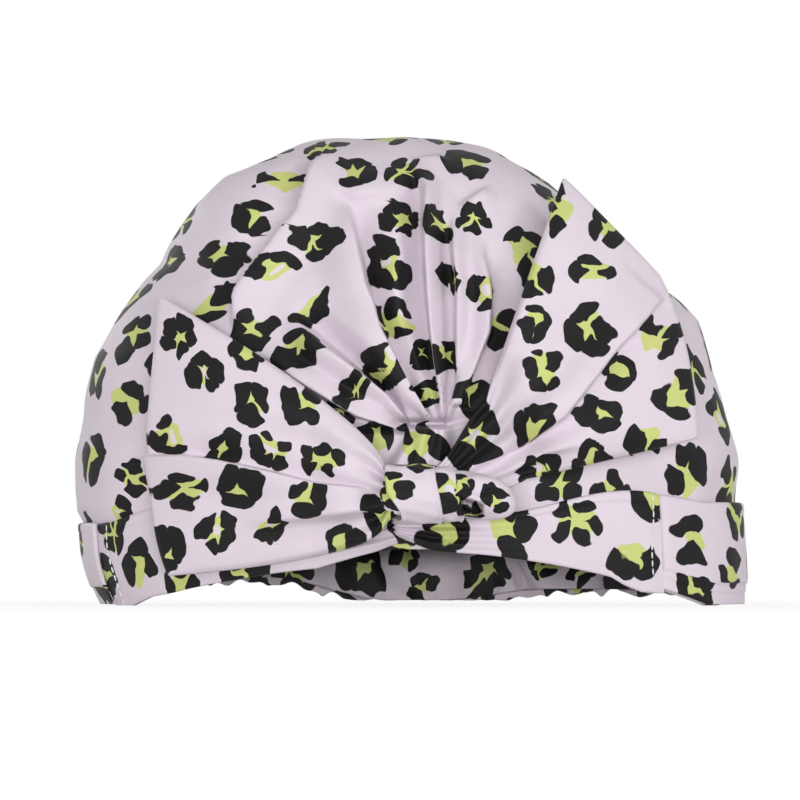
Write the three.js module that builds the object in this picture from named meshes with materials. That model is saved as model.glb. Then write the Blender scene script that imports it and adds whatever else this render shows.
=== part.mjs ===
// A turban shower cap: a printed cloth crown over a waterproof film and a lining, a flat front band that
// is tied into a knot, two bow wings that swing out from the knot, and a rear hem drawn in by elastic.
// Millimetres, +Z up. The cap stands on its hem, and its front looks along -Y.
import * as THREE from "three";

const { clamp, degToRad, lerp, smoothstep } = THREE.MathUtils;

// Driving dimensions of the crown.
const CROWN_HALF_WIDTH = 145;
const CROWN_HEIGHT = 202;
const CROWN_FRONT_DEPTH = 80;
const CROWN_BACK_DEPTH = 94;
const PROFILE_ROUNDNESS = 2.3; // exponent of the upright superellipse
const PLAN_ROUNDNESS = 2.2; // exponent of the superellipse seen from above
const CROWN_LEAN = 10; // how far the crown's top leans to the left
const LEAN_POWER = 2.5;
const SHOULDER_SLOPE = 20; // how much narrower than a round dome the crown's right half gets
const SHOULDER_LOW = 95; // heights between which it gets narrower
const SHOULDER_HIGH = 170;
const CROWN_CLOTH = 1;
const FILM_CLOTH = 0.5;
const LINING_CLOTH = 0.8;
const LAYER_GAP = 1.4; // between one cloth layer and the next
const LAYER_HEM = 0.985; // share of the way to the crown's hem that the film and the lining reach
const SEAT_GAP = 0.5; // between pieces that are sewn or tied to each other

// The hem: a front arch over the forehead, flat sides and a drawn-in rear.
const ARCH_HEIGHT = 24;
const ARCH_SETBACK = 17; // from the cap's side to the arch's foot
const BAND_WIDTH = 34;
const BAND_CLOTH = 2;
const BAND_TUCK = 4; // how far the crown is drawn in behind the band
const TUCK_EASE = 8; // above the band's top, where the crown starts to swell out again
const BAND_GAP = 1; // between the crown and what is sewn over its hem
const LEFT_SEAM_SETBACK = 12; // from the cap's side to where half of the band is sewn to its casing
const RIGHT_SEAM_SETBACK = 40;
const BAND_MEETING = 2; // where the two halves meet behind the knot
const BAND_WAIST = 13; // width of the band where the knot gathers it
const BAND_WAIST_START = 25; // how far from the meeting the band starts to widen
const BAND_WAIST_REACH = 105; // how far from the meeting it is back at its full width
const BAND_LIFT_RIGHT = 4.2; // the right half is sewn on this much above the hem
const BAND_SAG_LEFT = 4.9; // how far the left half's lower edge hangs down at most
const BAND_SAG_START = 0.1; // shares of the way from the knot to the sewn end, of the left half's sag
const BAND_SAG_PEAK = 0.32;
const BAND_SAG_RIGHT = 7.5; // how far the right half's lower edge hangs down at its sewn end
const REAR_DRAW = 9; // how far the elastic draws the rear hem in
const REAR_DRAW_HEIGHT = 62;
const SIDE_CASING_CLOTH = 2.4;
const SIDE_CASING_REACH = 9; // how far the side casing runs on behind the cap's widest place
const SIDE_CASING_RISE_RIGHT = 8.5; // how much taller the right side casing is than the band is wide
const CLIMB = 0.4; // the crown's hem climbs behind the side casing from this plan direction's sine
const CASING_HEIGHT = 15;
const REAR_FOOT = 14; // half width of the place where the rear casing touches the floor
const REAR_RISE_LEFT = 10; // how far it is lifted beside that place
const REAR_RISE_RIGHT = 5;
const REAR_SWEEP = 50;
const CASING_THICKNESS = 5;
const CASING_WALL = 1.2;
const CASING_CHAMFER = 1;
const CASING_RUFFLE = 1.8; // how far a gather stands proud
const CASING_RUFFLES = 30;
const ELASTIC_THICKNESS = 1.2;
const ELASTIC_CLEARANCE = 0.5;
const LEFT_DRAW = 10; // how far the hem's left corner is drawn in
const LEFT_DRAW_WIDTH = 70; // how far that reaches from the cap's side
const LEFT_DRAW_HEIGHT = 36;

// The fan of pleats that is drawn into the throat above the knot.
const THROAT_X = 5;
const THROAT_HEIGHT = 75;
const PLEAT_DEPTH = 10;
const PLEAT_START = 5; // distances from the throat, along the cloth
const PLEAT_FULL = 38;
const PLEAT_FADE = 70;
const PLEAT_END = 122;
const BUNCH_DEPTH = 8; // the cloth bunched up between the throat and the knot
const BUNCH_REACH = 15;
const GATHER_DEPTH = 3; // folds that climb the crown from the elastic
const GATHER_HEIGHT = 70;
// The fan's relief by direction about the throat: degrees from +X, and share of the pleat depth.
// A pair of close directions is the edge of a knife pleat.
const FAN = [
  [52, 0], [57, 0.1], [61, 0.9], [68, 0.95], [72, 0.3], [83, 0.95], [87, 0.15], [100, 0.45], [111, 0.15],
  [115, 1], [137, 0.7], [143, 0.1], [150, 0.65], [158, 0.1], [166, 0],
];

// The knot.
const KNOT_HEIGHT = 47; // of its axis above the floor
const KNOT_RISE = 12.5; // half height of the wrap
const KNOT_PROUD = 11; // half depth of the wrap
const KNOT_WALL = 2.2;
const WRAP_LEFT = -9;
const WRAP_RIGHT = 22;
const TAIL_LENGTH = 25;
const KNOT_SEAT = 0.6; // clearance of the knot to the band behind it

// The bow wings, in the front view: the root is the middle of the neck, the tilt the direction from there
// to the tip, and the chord the direction of the neck and of the outer edge.
const WINGS = {
  left_wing: {
    rootX: WRAP_LEFT - 2, rootHeight: KNOT_HEIGHT + 1, tilt: 165.8, chord: 91, length: 97, bulge: 6,
    neck: 19, tip: 116, flare: 0.62, lift: 12, crease: 0.48,
  },
  right_wing: {
    rootX: WRAP_RIGHT + 18, rootHeight: KNOT_HEIGHT + 23, tilt: 47, chord: 117, length: 77, bulge: 18,
    neck: 34, tip: 122, flare: 0.95, lift: 0, crease: 0.4,
  },
};
const WING_CLOTH = 1.8; // two layers of cloth at an edge
const WING_PUFF = 4; // how much thicker a wing is in the middle
const WING_CREASE = 3.5; // step where a wing is folded over itself
const WING_SEAT = 1; // clearance of a wing's neck to the crown
const WING_STAND = 5; // clearance of a wing's middle to the crown
const WING_FLARE = 15; // how much a wing's tip stands clear of the crown's outline

// Sewing thread.
const THREAD = 0.6;
const STITCH_PITCH = 3.2;
const STITCH_HALF_WIDTH = 0.7;
const STITCH_MARGIN = 2; // from the band's edges to the first and last stitch
const STITCH_INSET = 3; // from the band's sewn end to the row

// Fineness of the meshes.
const CROWN_RAYS = 60;
const CROWN_RINGS = 10;
const STRIP_STEPS = 16;
const STRIP_ROWS = 4;
const WING_STEPS = 14;
const WING_ROWS = 12;
const CASING_STEPS = 2 * CASING_RUFFLES;
const ROUND_STEPS = 20;
const LUMP_ROWS = 10;
const THREAD_SIDES = 5;

// Materials, with the colours of the photographed cap.
const PRINT = new THREE.MeshStandardMaterial({ color: 0xdccfdd, roughness: 0.5, metalness: 0 });
const FILM = new THREE.MeshStandardMaterial({ color: 0xe8ecee, roughness: 0.25, metalness: 0 });
const ELASTIC = new THREE.MeshStandardMaterial({ color: 0xf2f0ec, roughness: 0.8, metalness: 0 });
const WHITE_THREAD = new THREE.MeshStandardMaterial({ color: 0xf6f4f2, roughness: 0.6, metalness: 0 });

const signedPower = (value, power) => Math.sign(value) * Math.abs(value) ** power;
const range = (count) => Array.from({ length: count + 1 }, (_, i) => i / count);

// A closed solid between two matching grids of points. Rows may meet in a pole, and columns may wrap round.
function solidBetween(front, back, wrap = false) {
  const positions = [];
  const seen = new Map();
  const indexOf = (p) => {
    const key = [p.x, p.y, p.z].map((c) => Math.round(c * 1e4)).join();
    if (!seen.has(key)) {
      seen.set(key, positions.length / 3);
      positions.push(p.x, p.y, p.z);
    }
    return seen.get(key);
  };
  const faces = [];
  const quad = (a, b, c, d) => {
    const corners = [a, b, c, d].map(indexOf);
    for (const [i, j, k] of [[0, 1, 2], [0, 2, 3]]) {
      const face = [corners[i], corners[j], corners[k]];
      if (new Set(face).size === 3) faces.push(face);
    }
  };
  const rows = front.length - 1;
  const columns = front[0].length - (wrap ? 0 : 1);
  const next = (j) => (j + 1) % front[0].length;
  for (let i = 0; i < rows; i++) {
    for (let j = 0; j < columns; j++) {
      quad(front[i][j], front[i][next(j)], front[i + 1][next(j)], front[i + 1][j]);
      quad(back[i][j], back[i + 1][j], back[i + 1][next(j)], back[i][next(j)]);
    }
  }
  for (let j = 0; j < columns; j++) {
    quad(front[0][j], back[0][j], back[0][next(j)], front[0][next(j)]);
    quad(front[rows][j], front[rows][next(j)], back[rows][next(j)], back[rows][j]);
  }
  if (!wrap) {
    const last = columns;
    for (let i = 0; i < rows; i++) {
      quad(front[i][0], front[i + 1][0], back[i + 1][0], back[i][0]);
      quad(front[i][last], back[i][last], back[i + 1][last], front[i + 1][last]);
    }
  }
  const corner = (i) => new THREE.Vector3().fromArray(positions, 3 * i);
  const volume = faces.reduce((sum, [a, b, c]) => sum + corner(a).dot(corner(b).cross(corner(c))), 0);
  const outward = volume < 0 ? faces.map(([a, b, c]) => [a, c, b]) : faces;
  const geometry = new THREE.BufferGeometry();
  geometry.setAttribute("position", new THREE.Float32BufferAttribute(positions, 3));
  geometry.setIndex(outward.flat());
  geometry.computeVertexNormals();
  return geometry;
}

// Height of the front hem at a place across the cap.
const ARCH_HALF_WIDTH = CROWN_HALF_WIDTH - ARCH_SETBACK;
const BAND_END_LEFT = -(CROWN_HALF_WIDTH - LEFT_SEAM_SETBACK);
const BAND_END_RIGHT = CROWN_HALF_WIDTH - RIGHT_SEAM_SETBACK;
const archHeight = (x) => ARCH_HEIGHT * Math.max(0, 1 - (x / ARCH_HALF_WIDTH) ** 2);
const bandTop = (x) => archHeight(x) + BAND_WIDTH;

// Height of the rear casing's lower edge at a place across the cap.
const casingLow = (x) =>
  (x < 0 ? REAR_RISE_LEFT : REAR_RISE_RIGHT) * smoothstep(Math.abs(x), REAR_FOOT, REAR_FOOT + REAR_SWEEP);

// How far the crown leans sideways at a height.
const leanAt = (z) => -CROWN_LEAN * clamp(z / CROWN_HEIGHT, 0, 1) ** LEAN_POWER;

// Share of the dome's plan size that is left at a height.
const domeShare = (z, height) =>
  Math.max(0, 1 - Math.abs(z / height) ** PROFILE_ROUNDNESS) ** (1 / PROFILE_ROUNDNESS);

// How far the cloth is drawn in behind the band and by the rear elastic.
function drawnIn(x, z, rearward) {
  const tuck = BAND_TUCK * (1 - smoothstep(z, bandTop(x) + TUCK_EASE, bandTop(x) + 4 * TUCK_EASE));
  const rise = smoothstep(z, CASING_HEIGHT, CASING_HEIGHT + REAR_DRAW_HEIGHT);
  const rear = REAR_DRAW * rearward * (1 - rise);
  return lerp(tuck, rear, rearward);
}

// Plan angle of the seam between each side casing and the rear casing, behind the cap's widest place.
const SIDE_END = Math.asin(SIDE_CASING_REACH / CROWN_BACK_DEPTH);

// The crown's hem follows the arch at the front. It climbs above the rear casing where a side casing
// covers it.
function hemHeight(angle) {
  const x = CROWN_HALF_WIDTH * signedPower(Math.cos(angle), 2 / PLAN_ROUNDNESS);
  const front = Math.sin(angle) < 0 ? archHeight(x) : 0;
  const rear = casingLow(x) + CASING_HEIGHT + LAYER_GAP;
  return front + rear * smoothstep(Math.sin(angle), -CLIMB, -CLIMB / 4);
}

// A point of the smooth dome, inset from its outer face. The plan disc's centre is the crown's top and its
// edge is the hem.
function domePoint(across, along, inset) {
  const angle = Math.atan2(along, across);
  const fall = Math.min(1, Math.hypot(across, along)) * fallTo(hemHeight(angle));
  const share = Math.sin(fall) ** (2 / PROFILE_ROUNDNESS);
  const z = CROWN_HEIGHT * Math.max(0, Math.cos(fall)) ** (2 / PROFILE_ROUNDNESS);
  const unitX = signedPower(Math.cos(angle), 2 / PLAN_ROUNDNESS) * share;
  const unitY = signedPower(Math.sin(angle), 2 / PLAN_ROUNDNESS) * share;
  const depth = along < 0 ? CROWN_FRONT_DEPTH : CROWN_BACK_DEPTH;
  const rearward = smoothstep(Math.sin(angle), 0, 0.7);
  const less = inset + drawnIn(CROWN_HALF_WIDTH * unitX, z, rearward);
  const height = z * (1 - inset / CROWN_HEIGHT);
  const slope = across > 0 ? SHOULDER_SLOPE * smoothstep(z, SHOULDER_LOW, SHOULDER_HIGH) : 0;
  const x = (CROWN_HALF_WIDTH - less - slope) * unitX + leanAt(z);
  return new THREE.Vector3(x, (depth - less) * unitY, height);
}

// The front face of the dome at a place in the front view, with its plan and height grown.
function frontFace(x, z, side = 0, front = 0, top = 0) {
  const share = domeShare(z, CROWN_HEIGHT + top);
  const less = drawnIn(x, z, 0);
  const reach = Math.abs((x - leanAt(z)) / ((CROWN_HALF_WIDTH + side - less) * share));
  const depth = (CROWN_FRONT_DEPTH + front - less) * share;
  return -depth * Math.max(0, 1 - reach ** PLAN_ROUNDNESS) ** (1 / PLAN_ROUNDNESS);
}

// The throat's place in the plan disc, whose edge is the hem.
const fallTo = (height) => Math.acos((height / CROWN_HEIGHT) ** (PROFILE_ROUNDNESS / 2));
const THROAT_FALL = fallTo(THROAT_HEIGHT) / fallTo(ARCH_HEIGHT);
const THROAT = new THREE.Vector2(THROAT_X / CROWN_HALF_WIDTH, -THROAT_FALL);
const INSIDE = new THREE.Vector3(0, 0, CROWN_HEIGHT / 3); // a point well inside the cap

function fanShare(direction) {
  const degrees = (THREE.MathUtils.radToDeg(direction) + 360) % 360;
  const after = FAN.findIndex(([edge]) => edge >= degrees);
  if (after <= 0) return 0;
  const [[from, low], [to, high]] = [FAN[after - 1], FAN[after]];
  return lerp(low, high, (degrees - from) / (to - from));
}

// How far the crown's cloth stands proud of the smooth dome: the fan's pleats, the bunch over the knot and
// the gathers above the elastic.
function crownRelief(point, direction, distance, ridge) {
  const faded = smoothstep(distance, PLEAT_FADE, PLEAT_END);
  const fan = smoothstep(distance, PLEAT_START, PLEAT_FULL) * (1 - faded);
  const below = smoothstep(-Math.sin(direction), 0.2, 0.8);
  const bunch = Math.sin(Math.PI * clamp(distance / BUNCH_REACH, 0, 1));
  const rear = smoothstep(point.y, 0, CROWN_BACK_DEPTH / 2);
  const gather = ridge * rear * (1 - smoothstep(point.z, CASING_HEIGHT, CASING_HEIGHT + GATHER_HEIGHT));
  return PLEAT_DEPTH * fan * fanShare(direction) + BUNCH_DEPTH * below * bunch + GATHER_DEPTH * gather;
}

// One face of a crown layer: rays from the throat over the crown to places spread evenly round the hem.
// The film and the lining use every other ray, so that their flat facets stay inside the crown's.
const RAYS = range(CROWN_RAYS).slice(1).map((turn, ray) => {
  const rim = new THREE.Vector2(Math.cos(2 * Math.PI * turn), Math.sin(2 * Math.PI * turn));
  return { way: rim.sub(THROAT), ridge: ray % 2 };
});
function crownFace(inset, lining) {
  const throatPoint = domePoint(THROAT.x, THROAT.y, 0);
  const rays = RAYS.filter(({ ridge }) => !(lining && ridge));
  return range(CROWN_RINGS).map((t) =>
    rays.map(({ way, ridge }) => {
      const at = THROAT.clone().addScaledVector(way, Math.min(t, lining ? LAYER_HEM : 1));
      const point = domePoint(at.x, at.y, inset);
      if (lining) return point;
      const smooth = domePoint(at.x, at.y, 0);
      const relief = crownRelief(smooth, way.angle(), smooth.distanceTo(throatPoint), ridge);
      const outward = smooth.sub(INSIDE);
      outward.z = Math.max(0, outward.z);
      return point.addScaledVector(outward.normalize(), relief);
    }),
  );
}

const crownGeometry = () => solidBetween(crownFace(0, false), crownFace(CROWN_CLOTH, false), true);
const layerGeometry = (inset, cloth) =>
  solidBetween(crownFace(inset, true), crownFace(inset + cloth, true), true);

// How far the lower edge of each half of the band hangs down, on the way from the knot to its sewn end.
const sagLeft = (way) =>
  BAND_SAG_LEFT * smoothstep(way, BAND_SAG_START, BAND_SAG_PEAK) * (1 - smoothstep(way, BAND_SAG_PEAK, 1));
const sagRight = (way) => BAND_SAG_RIGHT * way ** 2;

// Half of the front band, from its sewn end to the meeting behind the knot.
function bandGeometry(end, lift, sag) {
  const layers = [BAND_GAP, BAND_GAP + BAND_CLOTH].map((off) =>
    range(STRIP_STEPS).map((t) => {
      const x = lerp(end, BAND_MEETING + Math.sign(end) * SEAT_GAP, t);
      const waist = smoothstep(Math.abs(x - BAND_MEETING), BAND_WAIST_START, BAND_WAIST_REACH);
      const low = archHeight(x) + lift * smoothstep(Math.abs(x), 0, Math.abs(end));
      const width = lerp(BAND_WAIST, BAND_WIDTH, waist);
      return range(STRIP_ROWS).map((s) => {
        const z = lerp(low - sag(1 - t), low + width, s);
        return new THREE.Vector3(x, frontFace(x, z) - off, z);
      });
    }),
  );
  return solidBetween(...layers);
}

// A point of the hem's outer face, going round from the front of one side to the front of the other.
function hemPoint(angle, z, off) {
  const share = domeShare(z, CROWN_HEIGHT);
  const unitX = signedPower(Math.cos(angle), 2 / PLAN_ROUNDNESS) * share;
  const unitY = signedPower(Math.sin(angle), 2 / PLAN_ROUNDNESS) * share;
  const depth = Math.sin(angle) < 0 ? CROWN_FRONT_DEPTH : CROWN_BACK_DEPTH;
  const grow = off - drawnIn(CROWN_HALF_WIDTH * unitX, z, smoothstep(Math.sin(angle), 0, 0.7));
  return new THREE.Vector3((CROWN_HALF_WIDTH + grow) * unitX + leanAt(z), (depth + grow) * unitY, z);
}

// The plan angle, in front of the cap's widest place, of a place across the cap.
const frontAngle = (x) =>
  -Math.acos(Math.abs(x / (CROWN_HALF_WIDTH - BAND_TUCK)) ** (PLAN_ROUNDNESS / 2));

// The flat casing of one side, from the band's sewn end to where the elastic's casing starts.
function sideCasingGeometry(side, bandEnd, rise) {
  const from = frontAngle(bandEnd + 2 * side * SEAT_GAP);
  const layers = [BAND_GAP, BAND_GAP + SIDE_CASING_CLOTH].map((off) =>
    range(STRIP_STEPS).map((t) => {
      const angle = lerp(from, SIDE_END, t);
      const low = archHeight(CROWN_HALF_WIDTH * Math.cos(angle) ** (2 / PLAN_ROUNDNESS));
      const top = low / 2 + BAND_WIDTH + rise;
      return range(STRIP_ROWS).map((s) => {
        const point = hemPoint(angle, lerp(low, top, s), off);
        point.x = side * (point.x - leanAt(point.z)) + leanAt(point.z);
        return point;
      });
    }),
  );
  return solidBetween(...layers);
}

// The middle of the rear casing's section, going round the back of the cap.
function casingFrame(t) {
  const start = SIDE_END + (2 * SEAT_GAP) / CROWN_BACK_DEPTH;
  const angle = lerp(start, Math.PI - start, t);
  const middle = hemPoint(angle, CASING_HEIGHT / 2, -CASING_THICKNESS / 2);
  middle.z += casingLow(middle.x);
  const outward = new THREE.Vector3(middle.x / CROWN_HALF_WIDTH ** 2, middle.y / CROWN_BACK_DEPTH ** 2, 0);
  return { middle, outward: outward.normalize() };
}

// An upright section with its corners cut, as offsets outward and upward from its middle.
function casingSection(halfThickness, halfHeight) {
  const [out, up] = [halfThickness - CASING_CHAMFER, halfHeight - CASING_CHAMFER];
  return [
    [halfThickness, up], [out, halfHeight], [-out, halfHeight], [-halfThickness, up],
    [-halfThickness, -up], [-out, -halfHeight], [out, -halfHeight], [halfThickness, -up],
  ];
}

// The gathered tube that holds the elastic, open at both ends.
function rearCasingGeometry() {
  const skin = (wall, ruffle) =>
    range(CASING_STEPS).map((t, step) => {
      const { middle, outward } = casingFrame(t);
      const proud = 1 + (ruffle * (step % 2)) / (CASING_THICKNESS / 2);
      return casingSection(CASING_THICKNESS / 2 - wall, CASING_HEIGHT / 2 - wall).map(([out, up]) =>
        middle.clone().addScaledVector(outward, out * proud).add(new THREE.Vector3(0, 0, up)),
      );
    });
  return solidBetween(skin(0, CASING_RUFFLE), skin(CASING_WALL, 0), true);
}

function elasticGeometry() {
  const halfHeight = CASING_HEIGHT / 2 - CASING_WALL - CASING_CHAMFER - ELASTIC_CLEARANCE;
  const faces = [ELASTIC_THICKNESS / 2, -ELASTIC_THICKNESS / 2].map((off) =>
    range(CASING_STEPS).map((t) => {
      const { middle, outward } = casingFrame(t);
      return [-halfHeight, halfHeight].map((up) =>
        middle.clone().addScaledVector(outward, off).add(new THREE.Vector3(0, 0, up)),
      );
    }),
  );
  return solidBetween(...faces);
}

// A place on a wing's outline in the front view: along from the neck to the tip, across from its lower edge.
function wingPlace(wing, along, across) {
  const tilt = degToRad(wing.tilt);
  const chord = degToRad(wing.chord);
  const half = lerp(wing.neck, wing.tip, along ** wing.flare) / 2;
  const side = 2 * across - 1;
  const bow = 1 - (side > 0 ? side : side ** 2); // the outer edge is straight above its middle
  const reach = wing.length * along + wing.bulge * bow * along ** 2;
  return {
    x: wing.rootX + reach * Math.cos(tilt) + side * half * Math.cos(chord),
    z: wing.rootHeight + reach * Math.sin(tilt) + side * half * Math.sin(chord),
  };
}

// A wing: cloth folded double, puffed between its edges and folded over itself along a crease.
function wingGeometry(wing) {
  const layers = [0, 1].map((outer) =>
    range(WING_STEPS).map((along) =>
      range(WING_ROWS).map((across) => {
        const { x, z } = wingPlace(wing, along, across);
        const puff = Math.sqrt(Math.sin(Math.PI * across)) * smoothstep(along, 0, 0.3) * (1 - along ** 4);
        const fold = across < wing.crease ? across / wing.crease : 0;
        const thick = WING_CLOTH + WING_PUFF * puff + WING_CREASE * fold * puff;
        const lift = wing.lift * (1 - smoothstep(along, 0, 0.35));
        const stand = lerp(WING_SEAT, WING_STAND, smoothstep(along, 0, 0.3));
        const flare = WING_FLARE * smoothstep(along, 0, 0.5);
        const y = frontFace(x, z, flare, stand, flare) - lift;
        return new THREE.Vector3(x, y - outer * thick, z);
      }),
    ),
  );
  return solidBetween(...layers);
}

// The knot's axis runs across the cap, in front of the band.
const KNOT_Y = -(CROWN_FRONT_DEPTH + BAND_GAP + BAND_CLOTH + KNOT_SEAT + KNOT_PROUD) + BAND_TUCK;
const WRAP_WAIST = 0.82; // the wrap is this much slimmer at its edges

function wrapRing(x, wall) {
  const share = lerp(WRAP_WAIST, 1, Math.sin(Math.PI * ((x - WRAP_LEFT) / (WRAP_RIGHT - WRAP_LEFT))));
  return range(ROUND_STEPS)
    .slice(1)
    .map((turn) => {
      const angle = 2 * Math.PI * turn;
      const y = KNOT_Y + (KNOT_PROUD * share - wall) * Math.cos(angle);
      return new THREE.Vector3(x, y, KNOT_HEIGHT + (KNOT_RISE * share - wall) * Math.sin(angle));
    });
}

// The strip wrapped round the middle of the bow.
function knotWrapGeometry() {
  const places = range(LUMP_ROWS).map((t) => lerp(WRAP_LEFT, WRAP_RIGHT, t));
  return solidBetween(places.map((x) => wrapRing(x, 0)), places.map((x) => wrapRing(x, KNOT_WALL)), true);
}

// The gathered cloth inside the wrap.
function knotCoreGeometry() {
  const places = range(LUMP_ROWS).map((t) => lerp(WRAP_LEFT, WRAP_RIGHT, t));
  const skin = places.map((x) => wrapRing(x, KNOT_WALL + SEAT_GAP));
  const axis = places.map((x) => skin[0].map(() => new THREE.Vector3(x, KNOT_Y, KNOT_HEIGHT)));
  const closed = [axis[0], ...skin, axis[LUMP_ROWS]];
  return solidBetween(closed, closed.map((row) => row.map(() => axis[LUMP_ROWS / 2][0])), true);
}

// The rounded end of the tie, tucked in beside the wrap.
function knotTailGeometry() {
  const tail = new THREE.SphereGeometry(1, ROUND_STEPS, LUMP_ROWS);
  const middle = WRAP_RIGHT + SEAT_GAP + TAIL_LENGTH / 2;
  tail.scale(TAIL_LENGTH / 2, KNOT_PROUD * WRAP_WAIST, KNOT_RISE * WRAP_WAIST);
  tail.translate(middle, KNOT_Y, KNOT_HEIGHT);
  return tail;
}

// A zigzag row of thread across the sewn end of the band.
function stitchGeometry(bandEnd, lift) {
  const x = bandEnd - Math.sign(bandEnd) * STITCH_INSET;
  const low = archHeight(x) + lift + STITCH_MARGIN;
  const length = BAND_WIDTH - 2 * STITCH_MARGIN;
  const steps = Math.round(length / STITCH_PITCH) * 2;
  const off = BAND_GAP + BAND_CLOTH + SEAT_GAP + THREAD / 2;
  const points = range(steps).map((t, step) => {
    const z = low + length * t;
    const across = x + STITCH_HALF_WIDTH * (2 * (step % 2) - 1);
    return new THREE.Vector3(across, frontFace(x, z) - off, z);
  });
  const section = new THREE.Shape(
    range(THREAD_SIDES).slice(1).map((turn) => {
      const angle = 2 * Math.PI * turn;
      return new THREE.Vector2((THREAD / 2) * Math.cos(angle), (THREAD / 2) * Math.sin(angle));
    }),
  );
  const path = new THREE.CatmullRomCurve3(points, false, "catmullrom", 0.3);
  return new THREE.ExtrudeGeometry(section, { steps: 2 * steps, bevelEnabled: false, extrudePath: path });
}

const FILM_INSET = CROWN_CLOTH + LAYER_GAP;
const LINING_INSET = FILM_INSET + FILM_CLOTH + LAYER_GAP;
const pieces = {
  crown_shell: [crownGeometry(), PRINT],
  waterproof_film: [layerGeometry(FILM_INSET, FILM_CLOTH), FILM],
  lining: [layerGeometry(LINING_INSET, LINING_CLOTH), PRINT],
  front_band_left: [bandGeometry(BAND_END_LEFT, 0, sagLeft), PRINT],
  front_band_right: [bandGeometry(BAND_END_RIGHT, BAND_LIFT_RIGHT, sagRight), PRINT],
  side_casing_left: [sideCasingGeometry(-1, BAND_END_LEFT, 0), PRINT],
  side_casing_right: [sideCasingGeometry(1, BAND_END_RIGHT, SIDE_CASING_RISE_RIGHT), PRINT],
  rear_casing: [rearCasingGeometry(), PRINT],
  rear_elastic: [elasticGeometry(), ELASTIC],
  left_wing: [wingGeometry(WINGS.left_wing), PRINT],
  right_wing: [wingGeometry(WINGS.right_wing), PRINT],
  knot_core: [knotCoreGeometry(), PRINT],
  knot_wrap: [knotWrapGeometry(), PRINT],
  knot_tail: [knotTailGeometry(), PRINT],
  band_stitch_left: [stitchGeometry(BAND_END_LEFT, 0), WHITE_THREAD],
  band_stitch_right: [stitchGeometry(BAND_END_RIGHT, BAND_LIFT_RIGHT), WHITE_THREAD],
};

// The hem's left corner is drawn in, and every layer there with it.
function drawLeftCorner(geometry) {
  const place = geometry.attributes.position;
  for (let i = 0; i < place.count; i++) {
    const near = clamp(1 - (place.getX(i) + CROWN_HALF_WIDTH) / LEFT_DRAW_WIDTH, 0, 1);
    const low = clamp(1 - place.getZ(i) / LEFT_DRAW_HEIGHT, 0, 1);
    place.setX(i, place.getX(i) + LEFT_DRAW * near * low ** 2);
  }
  return geometry;
}

const cap = new THREE.Group();
for (const [name, [geometry, material]] of Object.entries(pieces)) {
  const mesh = new THREE.Mesh(drawLeftCorner(geometry), material);
  mesh.name = name;
  cap.add(mesh);
}

// The origin is under the middle of the cap's box.
const middle = new THREE.Box3().setFromObject(cap).getCenter(new THREE.Vector3());
cap.position.set(-middle.x, -middle.y, 0);

export default cap;
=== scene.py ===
"""A turban shower cap: a puffed crown of printed cloth, pleated into a throat above a knotted front band,
with two bow wings and a rear hem gathered on elastic. Laid out as an add-on and run as a script."""

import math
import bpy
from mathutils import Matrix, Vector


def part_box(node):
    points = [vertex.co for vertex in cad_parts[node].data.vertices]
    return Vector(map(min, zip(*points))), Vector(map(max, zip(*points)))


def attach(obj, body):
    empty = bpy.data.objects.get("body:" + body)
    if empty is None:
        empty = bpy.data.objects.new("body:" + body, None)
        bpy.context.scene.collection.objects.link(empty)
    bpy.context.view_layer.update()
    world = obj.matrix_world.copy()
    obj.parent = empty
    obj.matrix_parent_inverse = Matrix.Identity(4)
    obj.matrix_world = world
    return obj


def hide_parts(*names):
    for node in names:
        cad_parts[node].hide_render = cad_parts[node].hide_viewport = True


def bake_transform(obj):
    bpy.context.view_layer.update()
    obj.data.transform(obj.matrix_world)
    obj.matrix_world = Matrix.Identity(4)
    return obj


bl_info = {
    "name": "Turban Shower Cap",
    "version": (1, 0, 0),
    "blender": (4, 5, 0),
    "location": "3D View > Sidebar > Shower Cap",
    "description": "Builds a printed turban shower cap with its knot, bow wings and gathered rear hem",
    "category": "Object",
}

import bmesh
import bpy
import numpy as np
from bpy.props import FloatProperty, FloatVectorProperty, PointerProperty
from mathutils import Vector, noise

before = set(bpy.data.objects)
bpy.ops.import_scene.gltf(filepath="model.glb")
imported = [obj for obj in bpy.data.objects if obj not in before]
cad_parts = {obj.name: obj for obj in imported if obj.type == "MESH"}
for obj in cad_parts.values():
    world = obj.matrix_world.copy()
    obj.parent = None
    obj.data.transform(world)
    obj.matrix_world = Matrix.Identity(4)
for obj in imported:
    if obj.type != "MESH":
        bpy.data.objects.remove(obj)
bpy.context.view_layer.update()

# Lengths below are in millimetres from the middle of the dome's floor, as in the part's source.
MM = 0.001
PROFILE = 2.3  # exponent of the dome's upright superellipse
PLAN = 2.2  # exponent of the dome's plan
LEAN, LEAN_POWER = 10, 2.5
ARCH_SETBACK = 17
BAND_TUCK, TUCK_EASE, BAND_GAP, BAND_CLOTH = 4, 8, 1, 1.9
LEFT_SEAM, RIGHT_SEAM = 12, 40  # from the cap's side to the band's sewn ends
BAND_MEETING, BAND_WAIST, BAND_WAIST_START, BAND_WAIST_REACH = 2, 13, 25, 105
BAND_LIFT_RIGHT = 4.2
REAR_DRAW, REAR_DRAW_HEIGHT = 9, 62
CLIMB = 0.4
CASING_HEIGHT, CASING_THICKNESS, RUFFLE_CLOTH = 15, 5, 0.7
HEM_EASE, HEM_SQUARE = 14, 0.55  # the gathers ease off towards the hem's ends, and its section is squarish
TAPE_HALF_WIDTH, TAPE_HALF_THICKNESS = 4.75, 0.5
SIDE_CASING_REACH, SIDE_CASING_RISE_RIGHT = 9, 8.5
REAR_FOOT, REAR_SWEEP, REAR_RISE_LEFT, REAR_RISE_RIGHT = 14, 50, 10, 5
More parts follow.
